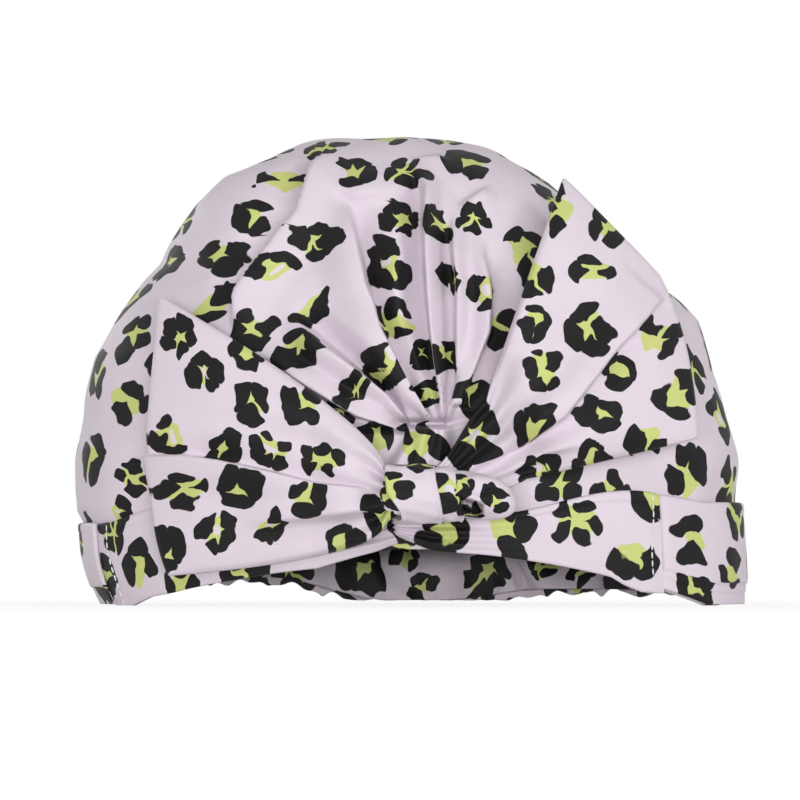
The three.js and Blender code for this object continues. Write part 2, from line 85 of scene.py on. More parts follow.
REAR_SEAM = -1.0  # height of the layers' rear hems over the casing's top
LEFT_DRAW, LEFT_DRAW_WIDTH, LEFT_DRAW_HEIGHT = 10, 70, 36
THROAT_X, THROAT_HEIGHT = 5, 75
CLOTH_MIDDLE, CLOTH_STEPS = (0, -95.0, 135.0), 21  # where the flat cloth is measured from, in so many steps
KNOT_HEIGHT, KNOT_RISE, KNOT_PROUD, KNOT_Y, KNOT_LEFT = 47, 12.5, 11, -90.6, -9
KNOT_CLOTH, KNOT_ROUND = 1.5, 74
# Points along and across the grids of the smaller pieces, and round the knot.
BAND_GRID, SIDE_GRID, HEM_GRID, WING_GRID, KNOT_TURNS = (141, 41), (81, 61), (521, 60), (141, 111), 96
STITCH_PITCH, STITCH_SIZE, STITCH_PROUD, STITCH_IN = 3.4, (0.36, 0.36, 1.45), 0.6, 3
# From the dome's frame to the shared frame.
SHIFT = np.array([
    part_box("knot_wrap")[0][0] / MM - KNOT_LEFT,
    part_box("knot_wrap")[0][1] / MM - (KNOT_Y - KNOT_PROUD),
    0,
])


def smoothstep(value, low, high):
    t = np.clip((value - low) / (high - low), 0, 1)
    return t * t * (3 - 2 * t)


def mix(a, b, t):
    return a + (b - a) * t


def signed_power(value, power):
    return np.sign(value) * np.abs(value) ** power


def unit(vectors):
    return vectors / np.maximum(np.linalg.norm(vectors, axis=-1, keepdims=True), 1e-9)


def together(*parts):
    """Numbers that fill a grid together, as its points or as places on the flat cloth."""
    return np.stack(np.broadcast_arrays(*parts), -1)


def plan_angle(points):
    return np.arctan2(points[..., 1], points[..., 0])


def lengths_along(path):
    """How far along a path each of its points lies."""
    return np.concatenate([[0], np.cumsum(np.linalg.norm(np.diff(path, axis=0), axis=1))])


def put(name, data):
    """A new object in the scene."""
    made = bpy.data.objects.new(name, data)
    bpy.context.scene.collection.objects.link(made)
    return made


def crumple(points, size, seed):
    """Smooth noise from -1 to 1 at each point, with lumps of about the given size."""
    flat = points.reshape(-1, 3) / size + seed
    values = [noise.noise(Vector(p)) for p in flat]
    return np.array(values).reshape(points.shape[:-1])


def lumps(points, layers, seed=0):
    """Soft lumps and dents, from layers of noise that each have a size, a seed and a depth."""
    return sum(depth * crumple(points, size, first + seed) for size, first, depth in layers)


# How far the crown stands out from a round dome on each side, by height.
SHOULDERS = {
    "left": ((34, 40, 48, 58, 70, 80, 105, 125, 150, 162, 172, 183, 193, 202),
             (0, 4, 4.8, 3.6, 2.6, 2.5, 5, 0.5, -6.2, -4, -0.9, 0.8, -8, 0)),
    "right": ((60, 80, 100, 112, 121, 131, 142, 152, 165, 173, 185, 193, 202),
              (0, -1, 0, 2.2, 3.4, 0, -6, -9.6, -12.5, -10, -6, -7, 0)),
}


class Dome:
    """The smooth dome that the cloth is laid on."""

    def __init__(self, sizes):
        self.half = sizes.half_width / MM
        self.height = sizes.height / MM
        self.front = sizes.front_depth / MM
        self.back = sizes.back_depth / MM
        self.arch = sizes.arch_height / MM
        self.band = sizes.band_width / MM
        fall = self.fall_to(THROAT_HEIGHT) / self.fall_to(self.arch)
        self.throat = np.array([THROAT_X / self.half, -fall])
        self.side_end = math.asin(SIDE_CASING_REACH / self.back)
        self.left_seam, self.right_seam = LEFT_SEAM - self.half, self.half - RIGHT_SEAM

    def fall_to(self, height):
        """Angle down the dome's upright profile to a height."""
        return np.arccos((height / self.height) ** (PROFILE / 2))

    def arch_height(self, x):
        return self.arch * np.maximum(0, 1 - (x / (self.half - ARCH_SETBACK)) ** 2)

    def casing_low(self, x):
        rise = np.where(x < 0, REAR_RISE_LEFT, REAR_RISE_RIGHT)
        return rise * smoothstep(np.abs(x), REAR_FOOT, REAR_FOOT + REAR_SWEEP)

    def lean(self, z):
        return -LEAN * np.clip(z / self.height, 0, 1) ** LEAN_POWER

    def share(self, z, height):
        return np.maximum(0, 1 - np.abs(z / height) ** PROFILE) ** (1 / PROFILE)

    def drawn_in(self, x, z, rearward):
        top = self.arch_height(x) + self.band
        tuck = BAND_TUCK * (1 - smoothstep(z, top + TUCK_EASE, top + 4 * TUCK_EASE))
        rise = smoothstep(z, CASING_HEIGHT, CASING_HEIGHT + REAR_DRAW_HEIGHT)
        return mix(tuck, REAR_DRAW * rearward * (1 - rise), rearward)

    def hem_height(self, angle):
        x = self.half * signed_power(np.cos(angle), 2 / PLAN)
        front = np.where(np.sin(angle) < 0, self.arch_height(x), 0)
        rear = self.casing_low(x) + CASING_HEIGHT + REAR_SEAM
        return front + rear * smoothstep(np.sin(angle), -CLIMB, -CLIMB / 4)

    def on_ring(self, angle, share, z, off):
        """Place at a plan angle on a ring of the dome's plan, moved out from the dome."""
        x = signed_power(np.cos(angle), 2 / PLAN) * share
        y = signed_power(np.sin(angle), 2 / PLAN) * share
        depth = np.where(np.sin(angle) < 0, self.front, self.back)
        rearward = smoothstep(np.sin(angle), 0, 0.7)
        grow = off - self.drawn_in(self.half * x, z, rearward)
        return (self.half + grow) * x + self.lean(z), (depth + grow) * y

    def point(self, across, along, inset):
        """The dome's face over a plan disc whose middle is the top and whose edge is the hem."""
        angle = np.arctan2(along, across)
        fall = np.minimum(1, np.hypot(across, along)) * self.fall_to(self.hem_height(angle))
        z = self.height * np.maximum(0, np.cos(fall)) ** (2 / PROFILE)
        x, y = self.on_ring(angle, np.sin(fall) ** (2 / PROFILE), z, -inset)
        return together(x, y, z * (1 - inset / self.height))

    def front_face(self, x, z, side=0, front=0, top=0):
        """Depth of the dome's front at a place in the front view, with its plan and height grown."""
        share = self.share(z, self.height + top)
        less = self.drawn_in(x, z, 0)
        reach = np.abs((x - self.lean(z)) / ((self.half + side - less) * share))
        depth = (self.front + front - less) * share
        return -depth * np.maximum(0, 1 - reach**PLAN) ** (1 / PLAN)

    def hem_point(self, angle, z, off):
        return together(*self.on_ring(angle, self.share(z, self.height), z, off), z)

    def front_angle(self, x):
        return -math.acos(abs(x / (self.half - BAND_TUCK)) ** (PLAN / 2))

    def plan(self, x, y):
        """The dome's depth on the side of y, and its plan's superellipse at a place."""
        depth = np.where(y < 0, self.front, self.back)
        return depth, np.abs(x / self.half) ** PLAN + np.abs(y / depth) ** PLAN

    def radius(self, way):
        """Distance from the floor's middle to the dome along unit directions."""
        x, y, z = np.moveaxis(way, -1, 0)
        plan = self.plan(x, y)[1] ** (PROFILE / PLAN)
        return (plan + np.abs(z / self.height) ** PROFILE) ** (-1 / PROFILE)

    def normal(self, points):
        """Which way the dome faces at points on it."""
        x, y, z = np.moveaxis(points, -1, 0)
        x = x - self.lean(z)
        depth, plan = self.plan(x, y)
        plan = np.maximum(plan, 1e-6) ** (PROFILE / PLAN - 1)
        return unit(together(
            plan * signed_power(x / self.half, PLAN - 1) / self.half,
            plan * signed_power(y / depth, PLAN - 1) / depth,
            signed_power(z / self.height, PROFILE - 1) / self.height,
        ))

    def slope_shoulders(self, points):
        """The crown's sides slope in above their widest place, more than a round dome's."""
        facing = self.normal(points)
        left, right = (np.interp(points[..., 2], *SHOULDERS[side]) for side in ("left", "right"))
        grow = np.where(facing[..., 0] < 0, left, right) * smoothstep(np.abs(facing[..., 0]), 0.1, 0.8)
        return points + facing * grow[..., None]

    def cloth_map(self, points):
        """Where each point lies on the flat cloth: its distance and bearing from a place on the front."""
        first = unit(np.array(CLOTH_MIDDLE))
        way = points.copy()
        way[..., 0] -= self.lean(way[..., 2])
        way = unit(way)
        turn = np.arccos(np.clip(way @ first, -1, 1 - 1e-9))[..., None]
        laid = []
        for step in np.linspace(0, 1, CLOTH_STEPS):
            on = unit(np.sin((1 - step) * turn) * first + np.sin(step * turn) * way)
            laid.append(on * self.radius(on)[..., None])
        length = sum(np.linalg.norm(b - a, axis=-1) for a, b in zip(laid, laid[1:]))
        head = laid[1] - laid[0]
        right = np.array([1.0, 0, 0])
        bearing = np.arctan2(head @ np.cross(first, right), head @ right)
        return length[..., None] * together(np.cos(bearing), np.sin(bearing))


# Where rosettes lie in the front view (x, z). A piece's other rosettes are strewn between them.
SPOTS = {
    "crown": [(-67, 165), (-54, 182), (-38, 196), (-23, 186), (-81, 149), (-103, 146), (-97, 164),
        (-120, 131), (-118, 115), (-85, 128), (-67, 117), (-57, 142), (-40, 154), (-28, 150), (-43, 126),
        (-47, 110), (-5, 165), (-10, 145), (-8, 120), (-134, 98), (-1, 184), (-14, 98), (-24, 91),
        (-30, 82), (24, 189), (11, 160), (26, 164), (18, 138), (33, 135), (5, 107), (15, 105), (4, 90),
        (-16, 70), (109, 135), (121, 100), (132, 81), (117, 56), (136, 50), (-137, 63), (-121, 87),
        (-118, 55), (-124, 39), (4, 67.5), (7, 132), (14, 200), (63, 51), (84, 47)],
    "bow_left": [(-99, 114), (-87, 98), (-101, 71), (-80, 66), (-67, 85), (-47, 85), (-59, 66), (-38, 62),
        (-68, 107), (-97, 49), (-72, 50), (-44, 45), (-82, 31), (-60, 34), (-13, 39), (-28, 26),
        (-104, 23)],
    "bow_right": [(60, 168), (48, 139), (76, 142), (51, 119), (75, 117), (104, 114), (55, 99), (88, 99),
        (34, 114), (84, 161), (52, 77), (80, 80), (100, 69), (113, 90), (25, 71), (32, 63), (53, 57),
        (77, 59)],
    "band_right": [(69, 35), (94, 19), (14, 31), (41, 32), (38, 25)],
    "casing_right": [(118, 27), (137, 14), (140, 36), (120, 7)],
    "casing_left": [(-141, 28)],
    "band_left": [(-118, 15), (-98, 9), (-127, 32), (-72, 17), (-134, 13)],
    "lining_cloth": [(-2, 20), (6, 8), (34, 12), (57, 17), (-19, 18), (-32, 12), (-51, 17), (-72, 16),
        (77, 15)],
    "knot_strip": [(-11, 50), (4, 60), (14, 48)],
    # The knot end's rosette at (25, 40) sits in the hollow of the tie's end: it is print, and it is also put
    # there to darken the hollow as painted shade.
    "knot_end": [(21, 51), (35, 45), (25, 40)],
}
INSIDE = {"lining_cloth"}  # shown from within, at the rear
SMALLER = {"bow_left": 0.91}  # pieces with smaller rosettes
LOTS = 997  # how many different random values a rosette can have
STREWN_TRIES = 2600
# Shares of the print's spacing: least distance between given and strewn rosettes, least and largest size.
GIVEN_APART, STREWN_APART, ROSETTE_LEAST, ROSETTE_MOST = 0.55, 0.9, 0.27, 0.45
ROSETTE_SHARE = 0.48  # size, as a share of the distance to the next rosette
# A rosette, in its own size: bends of its outline (scale and reach), and its lobes by their random values.
BENDS = ((0.9, 0.85), (1.9, 0.4), (3.6, 0.08))
FOUR_LOBES, FIVE_LOBES, LOBES_MISSING = 0.4, 0.8, 0.06
LOBE_RING, LOBE_THICK, LOBE_POWER = (0.54, 0.7), (0.31, 0.5), 2.1
LOBE_JOINED, LOBE_APART, GAPS = 1.14, 0.8, 0.42  # a lobe's share of its slice, and how many have a gap
MIDDLE_SIZE, BARE_MIDDLES = (0.48, 0.66), 0.92
SHADE = 0.72  # how dark the painted shade in the hollows of tape and thread is
FAR = 1e4  # moves what isn't shown away from the given places


def lay_print(mesh, flat, shown, faces, spots, room, seed, shrink):
    """Lays rosettes on the cloth. Some lie at given places in the front view (x, z) of what is shown, and
    others fill the rest of it. Each face is measured from its nearest rosette, in that rosette's own size and
    turn, so a rosette keeps its shape wherever the cloth bends. Two random values go with each."""
    rng = np.random.default_rng(seed)
    corners = flat[faces]
    middle, view = corners.mean(1), shown[faces].mean(1)
    normal = np.cross(corners[:, 2] - corners[:, 0], corners[:, 3] - corners[:, 1])
    area = np.linalg.norm(normal, axis=1)
    view[area < 1e-3 * area.max()] += FAR  # a rim has no width on the flat cloth
    given = [int(np.argmin((view[:, 0] - x) ** 2 + (view[:, 2] - z) ** 2)) for x, z in spots]
    strewn = rng.choice(len(faces), STREWN_TRIES, p=area / area.sum())
    chosen = []
    for picks, least in ((given, GIVEN_APART * room), (strewn, STREWN_APART * room)):
        for pick in picks:
            if not chosen or np.min(np.sum((middle[chosen] - middle[pick]) ** 2, 1)) > least**2:
                chosen.append(int(pick))
    centre, up = middle[chosen], unit(normal[chosen])
    apart = np.linalg.norm(centre[:, None] - centre, axis=-1) + 1e6 * np.eye(len(chosen))
    size = shrink * np.clip(ROSETTE_SHARE * apart.min(1), ROSETTE_LEAST * room, ROSETTE_MOST * room)
    nearest, second = np.concatenate([
        np.argsort(np.sum((part[:, None] - centre) ** 2, -1), 1)[:, :2] for part in np.array_split(middle, 40)
    ]).T
    ahead = unit(np.cross(up, (0.31, 0.2, 0.93)))
    aside = np.cross(up, ahead)
    turn = rng.uniform(0, 2 * math.pi, (len(chosen), 1))
    squeeze = rng.uniform(0.84, 1.2, len(chosen))
    along = (np.cos(turn) * ahead + np.sin(turn) * aside) / (size * squeeze)[:, None]
    across = (np.cos(turn) * aside - np.sin(turn) * ahead) / (size / squeeze)[:, None]
    away = corners - centre[nearest][:, None]
    place = np.stack([np.sum(away * axis[nearest][:, None], -1) for axis in (along, across)], -1)
    lots = (rng.integers(0, LOTS, (len(chosen), 2)) + 0.5) / LOTS
    luck = np.repeat(lots[nearest], 4, axis=0)
    # How far each corner is from the border between its rosette and the next one, in the rosette's size.
    near, next_to = centre[nearest][:, None], centre[second][:, None]
    border = np.sum((corners - next_to) ** 2, -1) - np.sum((corners - near) ** 2, -1)
    border = border / (2 * np.linalg.norm(near - next_to, axis=-1) * size[nearest][:, None])
    border = together(border, 0)
    for name, values in (("rosette", place), ("luck", luck), ("border", border)):
        layer = mesh.uv_layers.new(name=name)
        layer.data.foreach_set("uv", values.astype(np.float32).ravel())


def to_frame(points):
    """Points in the shared frame, in metres, with the hem's left corner and every piece there drawn in."""
    near = np.clip(1 - (points[..., 0] + bpy.context.scene.cap_sizes.half_width / MM) / LEFT_DRAW_WIDTH, 0, 1)
    low = np.clip(1 - points[..., 2] / LEFT_DRAW_HEIGHT, 0, 1)
    drawn = points.copy()
    drawn[..., 0] += LEFT_DRAW * near * low**2
    return (drawn + SHIFT) * MM


class Skin:
    """Collects grids of points, in millimetres, with their places on the flat cloth and in its print."""

    def __init__(self):
        self.points, self.places, self.print, self.faces, self.count = [], [], [], [], 0

    def add(self, points, places, wrap=False, printed=None):
        """The print lies on the flat cloth, unless it is given places of its own."""
        rows, columns = points.shape[:2]
        index = self.count + np.arange(rows * columns).reshape(rows, columns)
        self.count += index.size
        if wrap:
            index = np.concatenate([index, index[:, :1]], 1)
        corners = (index[:-1, :-1], index[:-1, 1:], index[1:, 1:], index[1:, :-1])
        self.faces.append(np.stack(corners, -1).reshape(-1, 4))
        self.points.append(points.reshape(-1, 3))
        places = np.broadcast_to(places, (rows, columns, 2)).reshape(-1, 2)
        self.places.append(places)
        level = np.pad(places, ((0, 0), (0, 1)))
        self.print.append(level if printed is None else printed.reshape(-1, 3))
        return self

    def build(self, name, material, thickness=0, print_scale=1.0):
        """Makes the object, with doubles merged, faces outwards and, for one layer, its thickness."""
        points = np.concatenate(self.points)
        places = np.concatenate(self.places)
        faces = np.concatenate(self.faces)
        mesh = bpy.data.meshes.new(name)
        mesh.from_pydata(to_frame(points).tolist(), [], faces.tolist())
        layer = mesh.uv_layers.new(name="cloth")
        layer.data.foreach_set("uv", (places * MM)[faces.reshape(-1)].astype(np.float32).ravel())
        if material.name == "rosette_cloth":
            room = bpy.context.scene.cap_look.print_spacing / MM * print_scale
            front = KNOT_Y if name.startswith("knot") else 0
            hidden = (points[:, 1] > front) != (name in INSIDE)
            shown = points + np.where(hidden, FAR, 0)[:, None]
            seed = sum(map(ord, name))
            shrink = SMALLER.get(name, 1.0)
            lay_print(mesh, np.concatenate(self.print), shown, faces, SPOTS.get(name, ()), room, seed, shrink)
        work = bmesh.new()
        work.from_mesh(mesh)
        bmesh.ops.remove_doubles(work, verts=work.verts, dist=2e-6)
        bmesh.ops.dissolve_degenerate(work, edges=work.edges, dist=1e-7)
        bmesh.ops.recalc_face_normals(work, faces=work.faces)
        work.to_mesh(mesh)
        work.free()
        mesh.shade_smooth()
        mesh.materials.append(material)
        piece = put(name, mesh)
        if thickness:
            wall = piece.modifiers.new("cloth", "SOLIDIFY")
            wall.thickness, wall.offset = thickness * MM, -1
            settle(piece)
        return piece


def settle(piece):
    """Turns a piece's modifiers into its plain mesh."""
    graph = bpy.context.evaluated_depsgraph_get()
    made = bpy.data.meshes.new_from_object(
        piece.evaluated_get(graph), preserve_all_data_layers=True, depsgraph=graph
    )
    old, piece.data = piece.data, made
    piece.modifiers.clear()
    made.name = old.name
    bpy.data.meshes.remove(old)


def doubled_cloth(name, front, back, places, material, print_scale=1.0):
    """Two layers of cloth that meet in rounded edges all round."""
    skin = Skin().add(front, places).add(back, places)
    rows, columns = front.shape[:2]
    ring = [(0, j) for j in range(columns - 1)] + [(i, columns - 1) for i in range(rows - 1)]
    ring += [(rows - 1, j) for j in range(columns - 1, 0, -1)] + [(i, 0) for i in range(rows - 1, 0, -1)]
    inner = [(min(max(i, 1), rows - 2), min(max(j, 1), columns - 2)) for i, j in ring]
    at = tuple(np.array(ring).T)
    middle = (front + back) / 2
    out = unit(middle[at] - middle[tuple(np.array(inner).T)])
    half = np.linalg.norm(front[at] - back[at], axis=-1, keepdims=True) / 2
    edges = [front[at]]
    for turn in (0.25, 0.5, 0.75):
        lean = math.cos(math.pi * turn)
        edges.append(middle[at] + lean * (front[at] - middle[at]) + math.sin(math.pi * turn) * half * out)
    edges.append(back[at])
    skin.add(np.stack(edges), places[at], wrap=True)
    return skin.build(name, material, print_scale=print_scale)


class Nodes:
    """A node tree in the making: nodes are added and joined by short calls."""

    def __init__(self, tree):
        self.tree = tree
        tree.nodes.clear()

    def feed(self, socket, value):
        if isinstance(value, bpy.types.NodeSocket):
            self.tree.links.new(value, socket)
        else:
            socket.default_value = value

    def fill(self, made, inputs):
        """Feeds the inputs of a node by name, with _ for a space."""
        for key, value in inputs.items():
            self.feed(made.inputs[key.replace("_", " ")], value)

    def node(self, kind, settings=None, **inputs):
        made = self.tree.nodes.new(kind)
        for key, value in (settings or {}).items():
            setattr(made, key, value)
        self.fill(made, inputs)
        return made

    def ordered(self, made, values):
        """Feeds the inputs of a node in their order."""
        for socket, value in zip(made.inputs, values):
            self.feed(socket, value)
        return made.outputs

    def math(self, operation, *values):
        return self.ordered(self.node("ShaderNodeMath", {"operation": operation}), values)[0]

    def vector(self, operation, *values, **inputs):
        made = self.node("ShaderNodeVectorMath", {"operation": operation}, **inputs)
        return self.ordered(made, values)["Value" if operation == "LENGTH" else "Vector"]

    def split(self, vector):
        return self.node("ShaderNodeSeparateXYZ", Vector=vector).outputs

    def uv(self, name):
        return self.node("ShaderNodeUVMap", {"uv_map": name}).outputs[0]

    def noise(self, vector, scale, detail=1.0, output="Fac", dimensions="2D"):
        kind = {"noise_dimensions": dimensions}
        made = self.node("ShaderNodeTexNoise", kind, Vector=vector, Scale=scale, Detail=detail)
        return made.outputs[output]

    def ramp(self, value, low, high, to_low=0.0, to_high=1.0, shape="SMOOTHSTEP"):
        ends = {"From_Min": low, "From_Max": high, "To_Min": to_low, "To_Max": to_high}
        return self.node("ShaderNodeMapRange", {"interpolation_type": shape}, Value=value, **ends).outputs[0]

    def between(self, share, low, high):
        """Eases from low to high as a share goes from 0 to 1."""
        return self.ramp(share, 0.0, 1.0, low, high)

    def colour_mix(self, factor, a, b):
        made = self.node("ShaderNodeMix", {"data_type": "RGBA"})
        for place, value in ((0, factor), (6, a), (7, b)):
            self.feed(made.inputs[place], value)
        return made.outputs[2]

    def luck(self, seed, number):
        """A random value for a number, the same wherever the seed is the same."""
        label = self.node("ShaderNodeCombineXYZ", X=self.math("MULTIPLY", seed, 91.7), Y=number)
        made = self.node("ShaderNodeTexWhiteNoise", {"noise_dimensions": "2D"}, Vector=label.outputs[0])
        return made.outputs["Value"]

    def bump(self, height, strength, distance, **normal):
        sizes = {"Height": height, "Strength": strength, "Distance": distance}
        return self.node("ShaderNodeBump", **sizes, **normal).outputs[0]

    def looked_at(self):
        """1 on the rays that show a surface as it is seen, in a mirror or through glass too, 0 on others."""
        path = self.node("ShaderNodeLightPath").outputs
        seen = self.math("MAXIMUM", path["Is Camera Ray"], path["Is Glossy Ray"])
        return self.math("MAXIMUM", seen, path["Is Transmission Ray"])


class Finish(Nodes):
    """A material in the making, with its main shader."""

    def __init__(self, name):
        self.material = bpy.data.materials.new(name)
        self.material.use_nodes = True
        super().__init__(self.material.node_tree)
        self.shader = self.node("ShaderNodeBsdfPrincipled")
        self.node("ShaderNodeOutputMaterial", Surface=self.shader.outputs[0])

    def done(self, **inputs):
        """Feeds the shader and gives the material."""
        self.fill(self.shader, inputs)
        return self.material


def printed_cloth(name, look):
    """Ribbed satin printed with black lobed rosettes round yellow-green middles."""
    f = Finish(name)
    place, spot = f.uv("cloth"), f.uv("rosette")
    chance = f.split(f.uv("luck"))[:2]
    chance = [f.math("DIVIDE", f.math("FLOOR", f.math("MULTIPLY", lot, LOTS)), LOTS) for lot in chance]
    # Each rosette is bent and frayed in its own way.
    own = f.node("ShaderNodeCombineXYZ", Z=f.math("MULTIPLY", chance[0], 40.0)).outputs[0]
    own = f.vector("ADD", spot, own)
    warped = spot
    for scale, reach in BENDS:
        sway = f.vector("SUBTRACT", f.noise(own, scale, 0.0, "Color", "3D"), (0.5, 0.5, 0.5))
        warped = f.vector("ADD", warped, f.vector("SCALE", sway, Scale=reach))
    part = f.split(warped)
    squares = [f.math("MULTIPLY", value, value) for value in part[:2]]
    from_middle = f.math("SQRT", f.math("ADD", *squares))
    bearing = f.math("ARCTAN2", part[1], part[0])
    # Three to five lobes round the middle, each with its own size and place.
    more = [f.math("GREATER_THAN", chance[1], least) for least in (FOUR_LOBES, FIVE_LOBES)]
    lobes = f.math("ADD", f.math("ADD", *more), 3.0)
    slice_ = f.math("DIVIDE", 2 * math.pi, lobes)
    number = f.math("FLOOR", f.math("ADD", f.math("DIVIDE", bearing, slice_), 0.5))
    within = f.math("SUBTRACT", bearing, f.math("MULTIPLY", number, slice_))
    label = f.math("FLOORED_MODULO", number, lobes)
    lot, other_lot = f.luck(chance[0], label), f.luck(chance[0], f.math("ADD", label, 7.0))
    beyond = f.math("ADD", number, f.math("GREATER_THAN", within, 0.0))
    gap = f.math("LESS_THAN", f.luck(chance[1], f.math("FLOORED_MODULO", beyond, lobes)), GAPS)
    # Neighbouring lobes run together unless there is a gap between them, and a few lobes are missing.
    half_slice = f.math("MULTIPLY", slice_, 0.5)
    spread = f.math("MULTIPLY", half_slice, f.between(gap, LOBE_JOINED, LOBE_APART))
    from_ring = f.math("SUBTRACT", from_middle, f.between(other_lot, *LOBE_RING))
    ring = f.math("DIVIDE", from_ring, f.between(lot, *LOBE_THICK))
    round_ = f.math("DIVIDE", within, spread)
    powers = [f.math("POWER", f.math("ABSOLUTE", value), LOBE_POWER) for value in (ring, round_)]
    # A lobe is rounded off short of the border with the next rosette.
    edge = f.split(f.uv("border"))[0]
    crowded = f.math("POWER", f.ramp(edge, 0.02, 0.3, 1.0, 0.0), 2.0)
    black = f.ramp(f.math("ADD", f.math("ADD", *powers), crowded), 0.92, 1.07, 1.0, 0.0)
    black = f.math("MULTIPLY", black, f.math("GREATER_THAN", lot, LOBES_MISSING))
    from_rim = f.math("SUBTRACT", from_middle, f.between(chance[1], *MIDDLE_SIZE))
    lime = f.ramp(from_rim, -0.02, 0.02, 1.0, 0.0)
    bare = f.ramp(from_middle, 0.14, 0.18, 1.0, 0.0)
    bare = f.math("MULTIPLY", bare, f.math("GREATER_THAN", chance[0], BARE_MIDDLES))
    lime = f.math("SUBTRACT", lime, bare)
    clear = f.ramp(edge, 0.03, 0.06)
    black, lime = f.math("MULTIPLY", black, clear), f.math("MULTIPLY", lime, clear)

    weave = f.noise(place, 900.0, 2.0)
    ground = f.colour_mix(f.noise(place, 14.0, 2.0), (*look.ground_shade, 1), (*look.ground, 1))
    inked = f.colour_mix(weave, (*look.ink, 1), (*look.ink_worn, 1))
    colour = f.colour_mix(lime, ground, (*look.centre, 1))
    rough = f.math("ADD", f.between(black, 0.46, 0.5), f.math("MULTIPLY", weave, 0.1))
    ribs = f.math("SINE", f.math("MULTIPLY", f.split(place)[1], 2 * math.pi / look.rib_pitch))
    creases = f.bump(f.noise(place, 70.0, 3.0), 0.35, 0.0012)
    return f.done(
        Base_Color=f.colour_mix(black, colour, inked),
        Roughness=rough,
        Specular_IOR_Level=0.17,
        Sheen_Weight=0.02,
        Sheen_Roughness=0.4,
        Normal=f.bump(ribs, 0.22, 0.00012, Normal=creases),
    )


def milky_film(name, look):
    """Thin waterproof film with fine wrinkles."""
    f = Finish(name)
    place = f.uv("cloth")
    cloud = f.noise(place, 30.0, 3.0)
    return f.done(
        Base_Color=f.colour_mix(cloud, (*look.film, 1), (0.92, 0.94, 0.95, 1)),
        Roughness=f.ramp(cloud, 0.3, 0.7, 0.18, 0.34),
        Normal=f.bump(f.noise(place, 180.0, 4.0), 0.4, 0.0006),
    )


def woven_elastic(name, look):
    """Elastic tape: fine cords along it, crossed by a weave."""
    f = Finish(name)
    part = f.split(f.uv("cloth"))
    cords, picks = (
        f.math("SINE", f.math("MULTIPLY", way, 2 * math.pi / pitch))
        for way, pitch in ((part[1], 0.0011), (part[0], 0.0007))
    )
    height = f.math("ADD", cords, f.math("MULTIPLY", picks, 0.5))
    # Painted shade: the tape's colour darkens towards the hollows between its cords and picks.
    shade = tuple(SHADE * c for c in look.elastic)
    return f.done(
        Base_Color=f.colour_mix(f.ramp(height, -1.2, 1.2), (*shade, 1), (*look.elastic, 1)),
        Roughness=0.8,
        Normal=f.bump(height, 0.6, 0.0002),
    )


def sewing_thread(name, look):
    """Twisted thread."""
    f = Finish(name)
    place = f.node("ShaderNodeTexCoord").outputs["Object"]
    bands = {"bands_direction": "DIAGONAL"}
    twist = f.node("ShaderNodeTexWave", bands, Vector=place, Scale=900.0, Distortion=2.0).outputs["Fac"]
    # Painted shade along the thread's twist, varied at random by noise, darkens its colour.
    painted_twist_shade = f.math("MULTIPLY", twist, f.noise(place, 2500.0, 2.0, "Fac", "3D"))
    shade = tuple(SHADE * c for c in look.thread)
    return f.done(
        Base_Color=f.colour_mix(painted_twist_shade, (*look.thread, 1), (*shade, 1)),
        Roughness=0.55,
        Sheen_Weight=0.2,
        Normal=f.bump(twist, 0.5, 0.0001),
    )


FINISHES = {
    "rosette_cloth": printed_cloth,
    "milky_film": milky_film,
    "woven_elastic": woven_elastic,
    "white_thread": sewing_thread,
}


def finish(name):
    """The material of that name, made the first time that a piece asks for it."""
    return bpy.data.materials.get(name) or FINISHES[name](name, bpy.context.scene.cap_look)


# How far a fold's trough, its hidden cloth and its overhang reach.
FOLD_TROUGH, FOLD_HIDDEN, FOLD_HANG = 12, 160, 4


def fold(x, z, line, height, wide, drop=2.5, groove=1.5, over=1.2, hidden=7, ends=(0.2, 0.2), shrink=1.0):
    """A knife fold along a line in the front view. The cloth left of the line stands proud and drops off on
    its right, and shrink makes it smaller from place to place. Returns how proud it stands, how far it hangs
    over, and how far the print is shifted."""
    line = np.array(line, float)
    lengths = np.linalg.norm(np.diff(line, axis=0), axis=1)
    total = lengths.sum()
    best = np.full(x.shape, 1e9)
    away, at = np.zeros(x.shape), np.zeros(x.shape)
    normal = np.zeros(x.shape + (2,))
    before = 0.0
    for start, stop, length in zip(line, line[1:], lengths):
        way = (stop - start) / length
        dx, dz = x - start[0], z - start[1]
        along = np.clip(dx * way[0] + dz * way[1], 0, length)
        gap = np.hypot(dx - along * way[0], dz - along * way[1])
        side = dz * way[0] - dx * way[1]
        near = gap < best
        best = np.where(near, gap, best)
        away = np.where(near, np.where(side >= 0, gap, -gap), away)
        at = np.where(near, (before + along) / total, at)
        normal[near] = (-way[1], way[0])
        before += length
    taper = smoothstep(at, 0, ends[0]) * (1 - smoothstep(at, 1 - ends[1], 1))
    away = away / shrink
    height, groove = height * (0.4 + 0.6 * shrink), groove * (0.4 + 0.6 * shrink)
    high = 1 - smoothstep(away, 0, wide)
    low = 1 - smoothstep(-away, 0, drop)
    trough = smoothstep(-away, 0, drop) * (1 - smoothstep(-away, drop, drop + FOLD_TROUGH))
    proud = taper * np.where(away >= 0, height * high, height * low - groove * trough)
    hang = -over * taper * np.exp(-((away / FOLD_HANG) ** 2)) * smoothstep(away, -drop, 0)
    slip = hidden * taper * smoothstep(-away, 0, drop) * (1 - smoothstep(-away, drop, FOLD_HIDDEN))
    return proud, hang[..., None] * normal, -slip[..., None] * normal


